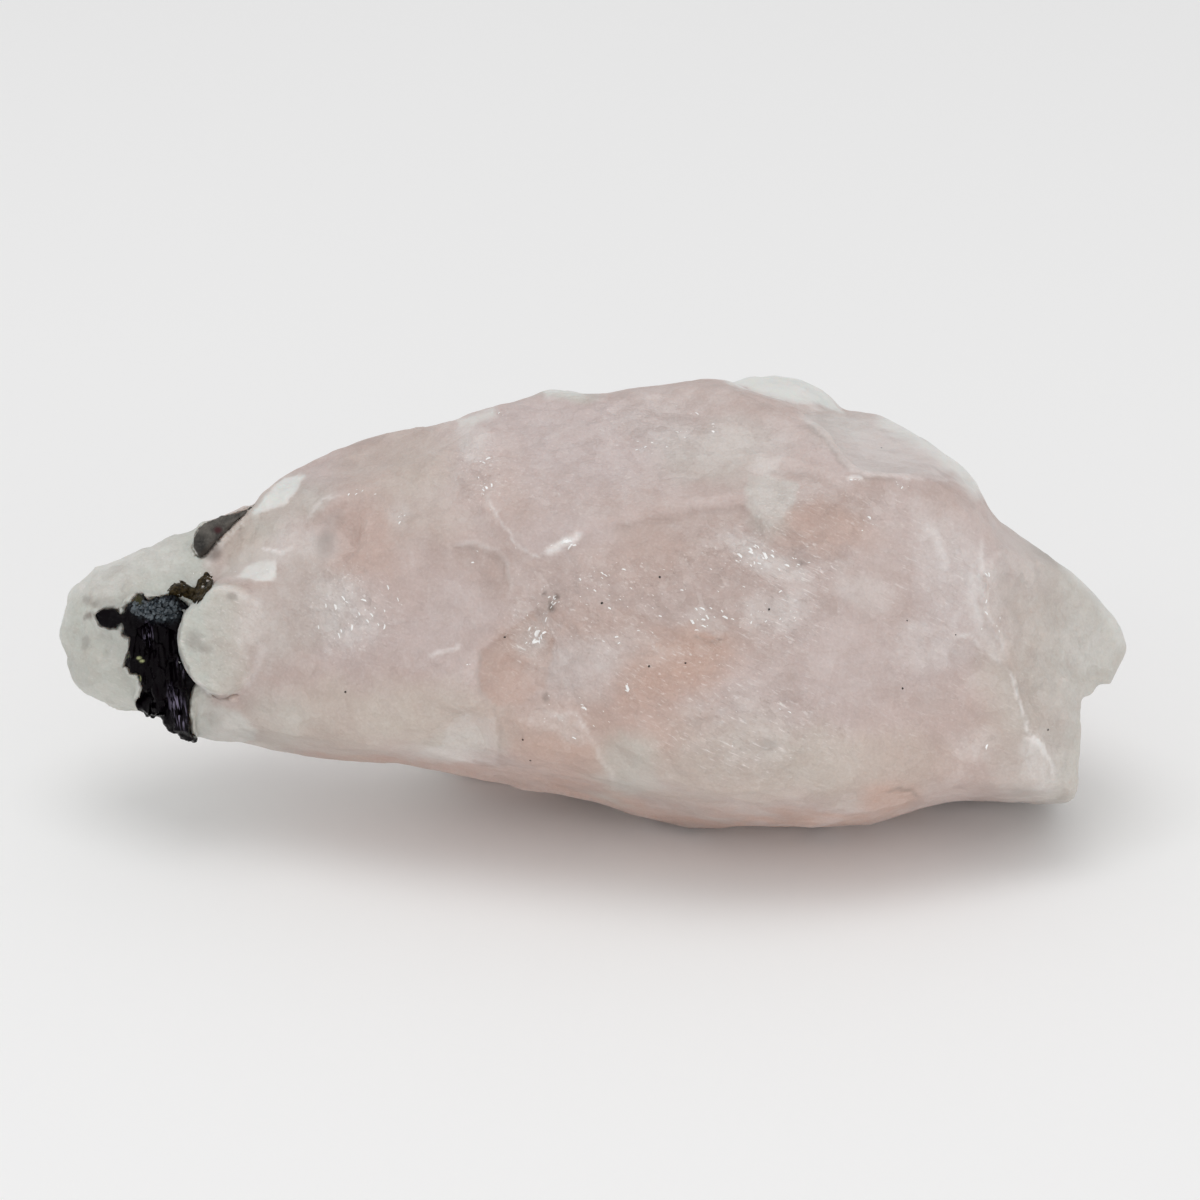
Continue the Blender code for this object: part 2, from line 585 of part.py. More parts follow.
def add_node(mesh, name, material, collection):
    mesh.name = name
    mesh.materials.clear()
    mesh.materials.append(material)
    mesh.shade_smooth()
    mesh.set_sharp_from_angle(angle=math.radians(40.0))
    node = bpy.data.objects.new(name, mesh)
    collection.objects.link(node)
    return node


def cut_away(stone, cutter):
    cut = stone.modifiers.new(cutter.name, "BOOLEAN")
    cut.operation = "DIFFERENCE"
    cut.solver = "EXACT"
    cut.object = cutter


def build():
    clear_scene()
    stone = new_collection("rose_quartz_specimen", True)
    cutters = new_collection("cutters", False)

    quartz = quartz_mesh()
    tourmaline = tourmaline_mesh()
    blade = blade_mesh()
    hollow = pocket_from(tourmaline, "tourmaline_pocket", cutters)
    slot = pocket_from(blade, "blade_pocket", cutters)
    notch = notch_cutter(cutters)
    pieces = [quartz, tourmaline, blade, hollow.data, slot.data, notch.data]
    for mesh in pieces:
        lay_down(mesh)

    lowest = min(vert.co.z for vert in quartz.vertices)
    rest = lowest + REST_CUT * 0.001
    cut_flat(quartz, rest)
    left = min(vert.co.x for vert in quartz.vertices)
    right = max(vert.co.x for vert in quartz.vertices)
    front = min(vert.co.y for vert in quartz.vertices)
    back = max(vert.co.y for vert in quartz.vertices)
    for mesh in pieces:
        mesh.transform(Matrix.Translation((-(left + right) / 2.0, -(front + back) / 2.0, -rest)))

    quartz_node = add_node(quartz, "rose_quartz", new_material("rose quartz", QUARTZ_PINK, 0.35), stone)
    for cutter in (hollow, slot, notch):
        cut_away(quartz_node, cutter)
    add_node(tourmaline, "black_tourmaline", new_material("black tourmaline", TOURMALINE_BLACK, 0.18), stone)
    add_node(blade, "tourmaline_blade", new_material("grey tourmaline", BLADE_GREY, 0.5), stone)


build()
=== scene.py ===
"""A rough piece of rose quartz with black tourmaline at one end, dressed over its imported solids.

The relief and the colours of the side that is seen are laid out in pixels of a 1200 by 1200 picture, as the
camera sees the stone, and every point of the mesh knows where it falls in that picture.
"""

import itertools
import math
import random

import bmesh
import bpy
import numpy as np
from mathutils import Matrix, Vector, kdtree, noise


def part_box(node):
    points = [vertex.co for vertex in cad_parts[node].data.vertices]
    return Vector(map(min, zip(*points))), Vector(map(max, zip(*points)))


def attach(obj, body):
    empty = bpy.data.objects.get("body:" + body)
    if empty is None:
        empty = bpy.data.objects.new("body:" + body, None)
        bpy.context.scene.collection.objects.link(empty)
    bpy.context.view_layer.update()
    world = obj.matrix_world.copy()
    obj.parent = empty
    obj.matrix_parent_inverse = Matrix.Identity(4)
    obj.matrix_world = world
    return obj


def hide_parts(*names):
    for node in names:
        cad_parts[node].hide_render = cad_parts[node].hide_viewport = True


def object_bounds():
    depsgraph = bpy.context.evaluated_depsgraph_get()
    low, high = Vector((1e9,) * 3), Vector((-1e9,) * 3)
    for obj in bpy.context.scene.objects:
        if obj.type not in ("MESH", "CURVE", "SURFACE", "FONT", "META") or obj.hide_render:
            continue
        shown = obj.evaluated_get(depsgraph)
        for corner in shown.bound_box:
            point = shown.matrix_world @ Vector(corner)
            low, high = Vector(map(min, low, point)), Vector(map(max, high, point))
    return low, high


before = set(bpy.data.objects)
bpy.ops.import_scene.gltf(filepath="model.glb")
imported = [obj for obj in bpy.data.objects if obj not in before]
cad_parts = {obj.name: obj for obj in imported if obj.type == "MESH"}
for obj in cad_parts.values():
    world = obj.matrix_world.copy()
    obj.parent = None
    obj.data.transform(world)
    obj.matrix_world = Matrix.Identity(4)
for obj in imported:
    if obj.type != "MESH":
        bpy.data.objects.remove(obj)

CAD_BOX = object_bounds()

# The picture: how it is taken, and where the stone's left end and top lie in it.
LOOKS_DOWN = math.radians(25.0)
LENS = 180.0
SENSOR = 36.0
PICTURE = 1200
PIXEL = 0.0001031
LEFT_END = 60.0
STONE_TOP = 372.0

MM = 0.001
SKIN_GRAIN = 0.36 * MM
CRYSTAL_GRAIN = 0.11 * MM
BLADE_GRAIN = 0.11 * MM
SKIN_TRIANGLES = 196000
SEED = 7
# The fine splinters in the stone run down to the right.
SLANT = (0.0, math.radians(-28.0), 0.0)
WAVER_SHIFT = Vector((17.3, 41.9, 8.6))
# A point is out of sight when another in the same few pixels lies this much nearer the camera.
SIGHT_SQUARE = 6.0
HIDDEN_DEPTH = 1.0 * MM
CRYSTALS_RIGHT = 230.0


def paint(code):
    """A colour written as in a paint program, as the linear numbers that a shader takes."""
    parts = [int(code[start:start + 2], 16) / 255.0 for start in (0, 2, 4)]
    linear = [part / 12.92 if part <= 0.04045 else ((part + 0.055) / 1.055) ** 2.4 for part in parts]
    return (*linear, 1.0)


def smooth_step(value):
    """0 below 0, 1 above 1, and a soft S between them."""
    value = np.clip(value, 0.0, 1.0)
    return value * value * (3.0 - 2.0 * value)


# The camera

ALONG_VIEW = np.array([0.0, math.cos(LOOKS_DOWN), -math.sin(LOOKS_DOWN)])
UP_IN_VIEW = np.array([0.0, math.sin(LOOKS_DOWN), math.cos(LOOKS_DOWN)])
CAMERA_AWAY = PIXEL * PICTURE * LENS / SENSOR


def mesh_points(mesh):
    flat = np.empty(len(mesh.vertices) * 3, np.float32)
    mesh.vertices.foreach_get("co", flat)
    return flat.reshape(-1, 3).astype(np.float64)


def mesh_normals(mesh):
    flat = np.empty(len(mesh.vertices) * 3, np.float32)
    mesh.vertices.foreach_get("normal", flat)
    return flat.reshape(-1, 3).astype(np.float64)


def find_middle():
    """The middle of the picture, half way through the stone: across, up and towards the camera."""
    points = mesh_points(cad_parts["rose_quartz"].data)
    across = points[:, 0].min() + (PICTURE / 2 - LEFT_END) * PIXEL
    up = (points @ UP_IN_VIEW).max() - (PICTURE / 2 - STONE_TOP) * PIXEL
    towards = -points @ ALONG_VIEW
    return across, up, (towards.min() + towards.max()) / 2.0


MIDDLE = find_middle()


def in_picture(points):
    """Where points fall in the picture, in pixels."""
    towards = -points @ ALONG_VIEW - MIDDLE[2]
    nearer = CAMERA_AWAY / (CAMERA_AWAY - towards) / PIXEL
    x = PICTURE / 2 + (points[:, 0] - MIDDLE[0]) * nearer
    y = PICTURE / 2 - (points @ UP_IN_VIEW - MIDDLE[1]) * nearer
    return x, y


def out_of_picture(x, y, towards):
    """The point that falls at a pixel and lies so far towards the camera from the middle, in metres."""
    size = PIXEL * (CAMERA_AWAY - towards) / CAMERA_AWAY
    across = MIDDLE[0] + (x - PICTURE / 2) * size
    up = MIDDLE[1] - (y - PICTURE / 2) * size
    sideways = np.stack([across, 0.0 * across, 0.0 * across], axis=1)
    return sideways + up[:, None] * UP_IN_VIEW - (MIDDLE[2] + towards)[:, None] * ALONG_VIEW


def make_camera():
    lens = bpy.data.cameras.new("camera")
    lens.lens = LENS
    lens.sensor_width = SENSOR
    lens.clip_start = 0.05
    lens.clip_end = 10.0
    camera = bpy.data.objects.new("camera", lens)
    bpy.context.scene.collection.objects.link(camera)
    aim = np.array([MIDDLE[0], 0.0, 0.0]) + UP_IN_VIEW * MIDDLE[1] - ALONG_VIEW * MIDDLE[2]
    camera.location = Vector(aim - ALONG_VIEW * CAMERA_AWAY)
    camera.rotation_euler = (math.pi / 2 - LOOKS_DOWN, 0.0, 0.0)
    bpy.context.scene.camera = camera


# Relief and painted masks

def from_path(path, x, y):
    """Each point's distance to a line, its side (1 below, going right), and how far along it is."""
    best = np.full(len(x), 1e12)
    reach = np.zeros(len(x))
    along = np.zeros(len(x))
    lengths = [math.dist(a, b) for a, b in zip(path, path[1:])]
    walked = 0.0
    for (x0, y0), (x1, y1), length in zip(path, path[1:], lengths):
        dx = (x1 - x0) / length
        dy = (y1 - y0) / length
        run = np.clip((x - x0) * dx + (y - y0) * dy, 0.0, length)
        square = (x - x0 - run * dx) ** 2 + (y - y0 - run * dy) ** 2
        below = dx * (y - y0) - dy * (x - x0)
        nearer = (square < best - 1e-6) | ((square < best + 1e-6) & (abs(below) > abs(reach)))
        best = np.where(nearer, square, best)
        reach = np.where(nearer, below, reach)
        along = np.where(nearer, (walked + run) / sum(lengths), along)
        walked += length
    return np.sqrt(best), np.sign(reach), along


def taper(along, ends):
    return smooth_step(np.minimum(along, 1.0 - along) / ends)


def inside(outline, x, y, soft):
    """1 inside a closed outline in the picture and 0 outside it, with an edge that is soft pixels wide."""
    crossings = np.zeros(len(x), int)
    for (x0, y0), (x1, y1) in zip(outline, outline[1:] + outline[:1]):
        if y0 == y1:
            continue
        spans = (y0 > y) != (y1 > y)
        crossings += spans & (x < (x1 - x0) * (y - y0) / (y1 - y0) + x0)
    distance, _, _ = from_path(outline + outline[:1], x, y)
    signed = np.where(crossings % 2 == 1, distance, -distance)
    return smooth_step(signed / soft + 0.5)


def oval(centre, radii, x, y, turn=0.0):
    """How far each point is from the middle of an oval in the picture: 1 on its edge."""
    cosine = math.cos(math.radians(turn))
    sine = math.sin(math.radians(turn))
    dx = x - centre[0]
    dy = y - centre[1]
    return np.hypot((dx * cosine + dy * sine) / radii[0], (dy * cosine - dx * sine) / radii[1])


def spot(centre, radii, relief, turn=0.0, reach=1.3):
    """A soft-edged oval in the picture: 1 inside it, 0 outside it."""
    return smooth_step(reach - oval(centre, radii, relief.x, relief.y, turn))


class Relief:
    """A mesh whose points are pushed about, stroke by stroke, towards the camera or away from it."""

    def __init__(self, mesh):
        self.mesh = mesh
        self.points = mesh_points(mesh)
        self.look()

    def look(self):
        """Brings each point's place in the picture, and how far its skin faces the camera, up to date."""
        self.mesh.vertices.foreach_set("co", self.points.astype(np.float32).ravel())
        self.mesh.update()
        self.normals = mesh_normals(self.mesh)
        self.x, self.y = in_picture(self.points)
        self.faces = -self.normals @ ALONG_VIEW
        self.front = smooth_step((self.faces - 0.05) / 0.3) * self.in_sight()

    def in_sight(self):
        """1 for a point that the camera sees, 0 for one that nearer skin round the crystals hides."""
        towards = -self.points @ ALONG_VIEW
        across = (self.x / SIGHT_SQUARE).astype(int)
        down = (self.y / SIGHT_SQUARE).astype(int)
        nearest = np.full((across.max() + 1, down.max() + 1), -1.0)
        np.maximum.at(nearest, (across, down), towards)
        hidden = 1.0 - smooth_step((towards - nearest[across, down]) / HIDDEN_DEPTH + 2.0)
        return 1.0 - hidden * smooth_step((CRYSTALS_RIGHT - self.x) / 20.0)

    def waver(self, amount, size):
        """Picture places that waver by amount pixels, so that nothing laid out with them is too straight."""
        sideways = np.empty(len(self.x))
        upright = np.empty(len(self.x))
        for index, point in enumerate(self.points):
            spot = Vector(point) / (size * PIXEL)
            sideways[index] = noise.fractal(spot, 1.0, 2.0, 3)
            upright[index] = noise.fractal(spot + WAVER_SHIFT, 1.0, 2.0, 3)
        return self.x + sideways * amount, self.y + upright * amount

    def draw_in_left_end(self):
        """The solids are drawn as if seen from far away, so near parts of the left end come in a little."""
        towards = -self.points @ ALONG_VIEW - MIDDLE[2]
        spread = CAMERA_AWAY / (CAMERA_AWAY - towards) - 1.0
        share = smooth_step((420.0 - self.x) / 120.0) * smooth_step(towards / (4.0 * MM))
        self.points[:, 0] -= spread * (self.points[:, 0] - MIDDLE[0]) * share
        self.look()

    def rise(self, amount):
        """Moves points towards the camera, in millimetres."""
        self.points -= (amount * self.front * MM)[:, None] * ALONG_VIEW

    def grow(self, amount):
        """Moves points out along their own normals, in millimetres."""
        self.points += (amount * MM)[:, None] * self.normals

    def ledge(self, path, drop, run, rise=6.0, ends=0.15):
        """A step: the skin below a line lies drop deeper, and comes out again over run."""
        distance, side, along = from_path(path, self.x, self.y)
        fall = smooth_step(distance / rise) * smooth_step((run - distance) / (run - rise))
        self.rise(np.where(side > 0, -drop * fall * taper(along, ends), 0.0))

    def crest(self, path, height, width, ends=0.2):
        """A raised edge along a line, or a groove where height is below zero."""
        distance, _, along = from_path(path, self.x, self.y)
        self.rise(height * smooth_step(1.0 - distance / width) * taper(along, ends))

    def dish(self, centre, radii, depth, turn=0.0):
        """A shallow hollow with a clear rim, or a low swelling where depth is below zero."""
        away = oval(centre, radii, self.x, self.y, turn)
        self.rise(-depth * np.clip(1.0 - away ** 2, 0.0, 1.0))

    def ripples(self, centre, inner, outer, spacing, height, middle_angle, half_angle):
        """Rings of a shell-like break, round a point, over part of a turn."""
        dx = self.x - centre[0]
        dy = self.y - centre[1]
        away = np.hypot(dx, dy)
        turn = np.degrees(np.arctan2(dy, dx)) - middle_angle
        turn = np.abs((turn + 180.0) % 360.0 - 180.0)
        where = smooth_step((half_angle - turn) / 15.0)
        where *= smooth_step((away - inner) / 12.0) * smooth_step((outer - away) / 12.0)
        self.rise(height * np.sin(away / spacing * 2.0 * math.pi) * where)

    def flat_face(self, outline, soft=5.0, lean_x=0.0, lean_y=0.0, sunk=0.0, share=1.0):
        """Planes the skin inside an outline flat, then leans it, over 100 pixels, and sinks it."""
        where = inside(outline, self.x, self.y, soft) * self.front
        where = where * smooth_step((self.faces - 0.2) / 0.3) * share
        core = where > 0.5
        if core.sum() < 12:
            return
        depth = -self.points @ ALONG_VIEW
        middle_x = self.x[core].mean()
        middle_y = self.y[core].mean()
        dx = (self.x - middle_x) / 100.0
        dy = (self.y - middle_y) / 100.0
        table = np.stack([np.ones(core.sum()), dx[core], dy[core]], axis=1)
        level, slope_x, slope_y = np.linalg.lstsq(table, depth[core], rcond=None)[0]
        plane = level + (slope_x + lean_x * MM) * dx + (slope_y + lean_y * MM) * dy - sunk * MM
        self.points -= ((plane - depth) * where)[:, None] * ALONG_VIEW

    def chips(self, where, size, lean, step, stretch=1.0, turn=0.0, seed=SEED, blend=0.18):
        """Small broken faces, each leaning its own way and lying a little higher or lower than the next."""
        chance = random.Random(seed)
        cosine = math.cos(math.radians(turn))
        sine = math.sin(math.radians(turn))
        along = (self.x * cosine + self.y * sine) / stretch
        across = self.y * cosine - self.x * sine
        depth = -self.points @ ALONG_VIEW / PIXEL
        spread = np.stack([along, across, depth], axis=1) / size
        used = np.nonzero(where > 0.01)[0]
        low = np.floor(spread[used].min(axis=0)).astype(int) - 1
        high = np.ceil(spread[used].max(axis=0)).astype(int) + 1
        near = {tuple(cell) for cell in np.floor(spread[used]).astype(int)}
        steps_round = list(itertools.product((-1, 0, 1), repeat=3))
        cells = {(a + i, b + j, d + k) for a, b, d in near for i, j, k in steps_round}
        seeds = []
        for cell in sorted(cells):
            if all(lo <= part <= hi for lo, part, hi in zip(low, cell, high)):
                seeds.append([part + chance.random() for part in cell])
        tree = kdtree.KDTree(len(seeds))
        for index, seed_point in enumerate(seeds):
            tree.insert(seed_point, index)
        tree.balance()
        leans = [[chance.uniform(-lean, lean) for _ in range(3)] for _ in seeds]
        steps = [chance.uniform(-step, step) for _ in seeds]
        amount = np.zeros(len(self.x))
        for index in used:
            place = spread[index]
            near_by = tree.find_n(place, 2)
            heights = []
            for _, seed_index, _ in near_by:
                tilt = leans[seed_index]
                seed_point = seeds[seed_index]
                heights.append(steps[seed_index] + sum(
                    t * (p - q) for t, p, q in zip(tilt, place, seed_point)
                ))
            share = min(1.0, (near_by[1][2] - near_by[0][2]) / blend) * 0.5 + 0.5
            amount[index] = heights[0] * share + heights[1] * (1.0 - share)
        self.grow(amount * where)

    def unevenness(self, where, height, size):
        """A fine soft unevenness."""
        amount = np.zeros(len(self.x))
        for index in np.nonzero(where > 0.01)[0]:
            amount[index] = noise.noise(Vector(self.points[index]) / (size * MM))
        self.grow(amount * height * where)

    def make_bed(self, outline, depth, spared):
        """Sinks the skin inside an outline, except the spared part, for a piece that will lie there."""
        bed = inside(outline, self.x, self.y, 3.0) * (1.0 - inside(spared, self.x, self.y, 3.0))
        self.points += (bed * smooth_step(self.faces / 0.2) * depth * MM)[:, None] * ALONG_VIEW
        self.look()

    def keep_in(self, low, high):
        self.points = np.clip(self.points, np.array(low), np.array(high))


def picture_tree(relief, seen):
    """Some points of a relief, by where they fall in the picture, ready to be searched."""
    tree = kdtree.KDTree(len(seen))
    for place, index in enumerate(seen):
        tree.insert((relief.x[index], relief.y[index], 0.0), place)
    tree.balance()
    return tree


def store_mask(mesh, name, values):
    mask = mesh.attributes.new(name, "FLOAT", "POINT")
    mask.data.foreach_set("value", np.clip(values, 0.0, 1.0).astype(np.float32))


# Finishes

class Wire:
    """A socket of a material, on which sums can be written."""

    def __init__(self, finish, socket):
        self.finish = finish
        self.socket = socket

    def maths(self, operation, *values):
        made = self.finish.node("ShaderNodeMath", {"operation": operation}, dict(enumerate(values)))
        return made.out()

    def __add__(self, other):
        return self.maths("ADD", self, other)

    def __sub__(self, other):
        return self.maths("SUBTRACT", self, other)

    def __rsub__(self, other):
        return self.maths("SUBTRACT", other, self)

    def __mul__(self, other):
        return self.maths("MULTIPLY", self, other)

    __radd__ = __add__
    __rmul__ = __mul__

    def size(self):
        return self.maths("ABSOLUTE", self)

    def clipped(self):
        return self.maths("MINIMUM", self.maths("MAXIMUM", self, 0.0), 1.0)

    def between(self, low, high):
        """0 below low, 1 above high, and a soft S between them."""
        settings = {"interpolation_type": "SMOOTHSTEP"}
        inputs = {"Value": self, "From Min": low, "From Max": high}
        return self.finish.node("ShaderNodeMapRange", settings, inputs).out()


class Node:
    def __init__(self, finish, node):
        self.finish = finish
        self.node = node

    def out(self, name=0):
        return Wire(self.finish, self.node.outputs[name])


class Finish:
    """A material and the nodes that make it."""

    def __init__(self, name):
        self.material = bpy.data.materials.new(name)
        self.material.use_nodes = True
        self.tree = self.material.node_tree
        self.tree.nodes.clear()

    def node(self, kind, settings=None, inputs=None):
        made = self.tree.nodes.new(kind)
        for setting, value in (settings or {}).items():
            setattr(made, setting, value)
        for name, value in (inputs or {}).items():
            if isinstance(value, Wire):
                self.tree.links.new(value.socket, made.inputs[name])
            else:
                made.inputs[name].default_value = value
        return Node(self, made)

    def place(self, scale_x=1.0, scale_y=1.0, scale_z=1.0, turn=(0.0, 0.0, 0.0)):
        """Object coordinates in millimetres, turned and then stretched."""
        spot = self.node("ShaderNodeTexCoord").out("Object")
        settings = {"vector_type": "POINT"}
        stretch = (scale_x / MM, scale_y / MM, scale_z / MM)
        inputs = {"Vector": spot, "Rotation": turn}
        turned_spot = self.node("ShaderNodeMapping", settings, inputs).out()
        return self.vector("MULTIPLY", turned_spot, stretch).out()

    def clouds(self, place, scale, detail=3.0, rough=0.5, warp=0.0):
        inputs = {"Vector": place, "Scale": scale, "Detail": detail, "Roughness": rough, "Distortion": warp}
        return self.node("ShaderNodeTexNoise", {}, inputs).out()

    def vector(self, operation, first, second):
        return self.node("ShaderNodeVectorMath", {"operation": operation}, {0: first, 1: second})

    def warped(self, place, scale, amount):
        """A place pushed about by clouds, by amount millimetres."""
        inputs = {"Vector": place, "Scale": scale, "Detail": 3.0}
        push = self.node("ShaderNodeTexNoise", {}, inputs).out("Color")
        push = self.vector("SUBTRACT", push, (0.5, 0.5, 0.5)).out()
        push = self.vector("MULTIPLY", push, (amount * 2.0, amount * 2.0, amount * 2.0)).out()
        return self.vector("ADD", place, push).out()

    def broken_faces(self, place, scale):
        """Small flat faces, each leaning its own way: their height, and a chance value for each."""
        cell = self.node("ShaderNodeTexVoronoi", {"feature": "F1"}, {"Vector": place, "Scale": scale})
        away = self.vector("SUBTRACT", place, cell.out("Position")).out()
        lean = self.vector("SUBTRACT", cell.out("Color"), (0.5, 0.5, 0.5)).out()
        return self.vector("DOT_PRODUCT", away, lean).out("Value"), cell.out("Color")

    def painted(self, name):
        """A mask that is stored on the mesh."""
        return self.node("ShaderNodeAttribute", {"attribute_name": name}).out("Fac")

    def mix(self, share, first, second):
        """Goes from the first colour to the second as share goes from 0 to 1."""
        settings = {"data_type": "RGBA", "blend_type": "MIX", "clamp_factor": True}
        made = self.node("ShaderNodeMix", settings, {0: share, 6: first, 7: second})
        return Wire(self, made.node.outputs[2])

    def bump(self, height, strength, depth):
        inputs = {"Height": height, "Strength": strength, "Distance": depth * MM}
        return self.node("ShaderNodeBump", {}, inputs).out()

    def shader(self, **inputs):
        named = {name.replace("_", " "): value for name, value in inputs.items()}
        return self.node("ShaderNodeBsdfPrincipled", {}, named).out()

    def done(self, surface):
        self.node("ShaderNodeOutputMaterial", {}, {"Surface": surface})
        return self.material


def quartz_finish():
    """Cloudy stone: a rose ground, washes of other tones, painted shade and light, and fine white flecks and
    streaks.
    """
    rock = Finish("milky_rose_quartz")
    place = rock.place()
    clear = rock.painted("clear")
    fleck = rock.painted("fleck")

    cloud = rock.clouds(place, 0.1, 5.0, 0.6, 0.8)
    mottle = rock.clouds(place, 0.45, 6.0, 0.65, 0.5)
    grain = rock.clouds(place, 3.5, 4.0, 0.7)
    streaks = rock.clouds(rock.warped(rock.place(0.14, 1.0, 1.0, SLANT), 0.2, 0.8), 4.4, 3.0, 0.6, 0.3)
    threads = rock.clouds(rock.place(0.3, 1.0, 1.0, SLANT), 1.3, 4.0, 0.6, 0.8)
    thread = (threads - 0.5).size().between(0.012, 0.0)

    def broken(mask, amount):
        """A painted mask with cloudy, grainy edges."""
        edge = (mottle - 0.5) * 1.3 + (cloud - 0.5) * 0.9 + (grain - 0.5) * 0.35
        return (mask + mask * edge * amount * (1.3 - mask)).clipped()

    colour = rock.mix(cloud.between(0.32, 0.68), paint("beaaa3"), paint("cbbab5"))
    colour = rock.mix(broken(rock.painted("mauve"), 0.8), colour, paint("cabcba"))
    colour = rock.mix(broken(rock.painted("sand"), 0.8), colour, paint("c7bcb0"))
    colour = rock.mix(broken(rock.painted("blush"), 0.8), colour, paint("c6a799"))
    colour = rock.mix(broken(rock.painted("moss"), 0.5), colour, paint("c6c8c0"))
    colour = rock.mix(broken(rock.painted("milk"), 1.1) * 0.85, colour, paint("e3dedb"))
    # Painted shade: the stored tone darkens and warms the stone below ledges and edges.
    colour = rock.mix(rock.painted("tone") * 0.5, colour, paint("ab9388"))
    colour = rock.mix((mottle.between(0.5, 0.75) * 0.22).clipped(), colour, paint("e0d8d4"))
    colour = rock.mix((mottle.between(0.5, 0.25) * 0.2).clipped(), colour, paint("ad9a92"))
    wavy = rock.warped(place, 0.35, 1.2)
    faces, chance = rock.broken_faces(rock.vector("MULTIPLY", wavy, (0.7, 1.0, 1.0)).out(), 0.32)
    slanted = rock.warped(rock.place(0.6, 1.0, 1.0, SLANT), 1.0, 0.3)
    small_faces, small_chance = rock.broken_faces(slanted, 1.1)
    more_slanted = rock.warped(rock.place(0.26, 1.0, 1.0, SLANT), 1.5, 0.25)
    tiny_faces, tiny_chance = rock.broken_faces(more_slanted, 5.5)
    tone = (chance - 0.5) * 0.24 + (small_chance - 0.5) * (0.1 + fleck * 0.3)
    colour = rock.mix(tone.clipped(), colour, paint("e6deda"))
    colour = rock.mix((tone * -1.0).clipped(), colour, paint("a3918a"))
    # White flecks and streaks: partly the stone's own white fractures, partly painted sparkle in the hackly
    # places.
    patchy = mottle.between(0.42, 0.62)
    fine = streaks.between(0.57, 0.72) * cloud.between(0.3, 0.6) * (0.12 + fleck * 0.75)
    fine = fine + thread * patchy * (0.05 + fleck * 0.3)
    fine = fine + tiny_chance.between(0.8, 0.92) * patchy * fleck * 0.45
    colour = rock.mix(fine.clipped(), colour, paint("f0e9e6"))
    colour = rock.mix((streaks.between(0.4, 0.26) * (0.1 + fleck * 0.3)).clipped(), colour, paint("957f76"))
    colour = rock.mix((grain - 0.5).clipped() * 0.7, colour, paint("ece4e0"))
    colour = rock.mix((0.5 - grain).clipped() * 0.55, colour, paint("94827a"))
    # Painted light: near white where light shines through thin or clearer stone; a small share of real glass
    # is mixed in below.
    colour = rock.mix((clear * 0.95).clipped(), colour, paint("f6f7f3"))
    # Painted glints on a few edges and slivers ride with the white veils of the stone's own.
    colour = rock.mix(broken(rock.painted("veil_and_glint"), 1.2), colour, paint("f1edeb"))
    # The stored shade holds dark marks of the stone's own, and painted shade along edges and in hollows.
    colour = rock.mix(broken(rock.painted("shade"), 1.2), colour, paint("7b6f68"))

    rough = 0.34 + mottle * 0.3 - clear * 0.12
    height = faces * 0.45 + small_faces * (0.3 + fleck * 0.5) + tiny_faces * fleck * 0.6 + grain * 0.08
    height = height + streaks * (0.03 + fleck * 0.12)
    normal = rock.bump(height, 0.6, 1.0)
    stone = rock.shader(
        Base_Color=colour, Roughness=rough, Normal=normal, IOR=1.54,
        Subsurface_Weight=0.35, Subsurface_Radius=(1.0, 0.72, 0.62), Subsurface_Scale=0.002,
    )
    glass = rock.shader(
        Base_Color=paint("f8faf6"), Roughness=0.25, Normal=normal, IOR=1.54, Transmission_Weight=1.0,
    )
    both = rock.node("ShaderNodeMixShader", {}, {0: (clear * 0.14).clipped(), 1: stone, 2: glass})
    return rock.done(both.out())


def tourmaline_finish():
    rock = Finish("black_tourmaline")
    place = rock.place()
    upright = rock.place(6.0, 2.0, 0.3, (0.0, math.radians(8.0), 0.0))
    crust = rock.painted("crust")
    speckle = rock.clouds(place, 3.0, 4.0, 0.7)
    grooves = rock.clouds(upright, 0.8, 3.0, 0.55)
    colour = rock.mix(speckle, paint("020002"), paint("090409"))
    shine = rock.painted("sheen") * grooves.between(0.5, 0.64)
    colour = rock.mix(shine.clipped(), colour, paint("8a8298"))
    colour = rock.mix((crust * speckle.between(0.4, 0.62)).clipped(), colour, paint("4a535a"))
    colour = rock.mix(rock.painted("olive"), colour, paint("3f3d28"))
    colour = rock.mix(rock.painted("lichen"), colour, paint("a3a77c"))
    rough = 0.14 + speckle * 0.2 + crust * 0.35
    normal = rock.bump(grooves * 0.3 + speckle * 0.4, 0.6, 0.2)
    surface = rock.shader(
        Base_Color=colour, Roughness=rough, Normal=normal, IOR=1.64, Specular_IOR_Level=0.05
    )
    return rock.done(surface)


def blade_finish():
    rock = Finish("grey_tourmaline")
    place = rock.place()
    speckle = rock.clouds(place, 1.6, 5.0, 0.65)
    rust = rock.painted("rust")
    blotch = rock.clouds(place, 0.5, 4.0, 0.6)
    colour = rock.mix(blotch.between(0.3, 0.52), paint("2b2927"), paint("54504b"))
    colour = rock.mix(rock.painted("dark") * 0.85, colour, paint("131210"))
    colour = rock.mix((speckle - 0.45).clipped(), colour, paint("8a857e"))
    colour = rock.mix(rock.painted("edge"), colour, paint("dcdbd6"))
    colour = rock.mix(rust, colour, paint("3a1418"))
    normal = rock.bump(speckle, 0.7, 0.2)
    surface = rock.shader(
        Base_Color=colour, Roughness=0.4 + speckle * 0.3, Normal=normal, IOR=1.6, Specular_IOR_Level=0.25
    )
    return rock.done(surface)


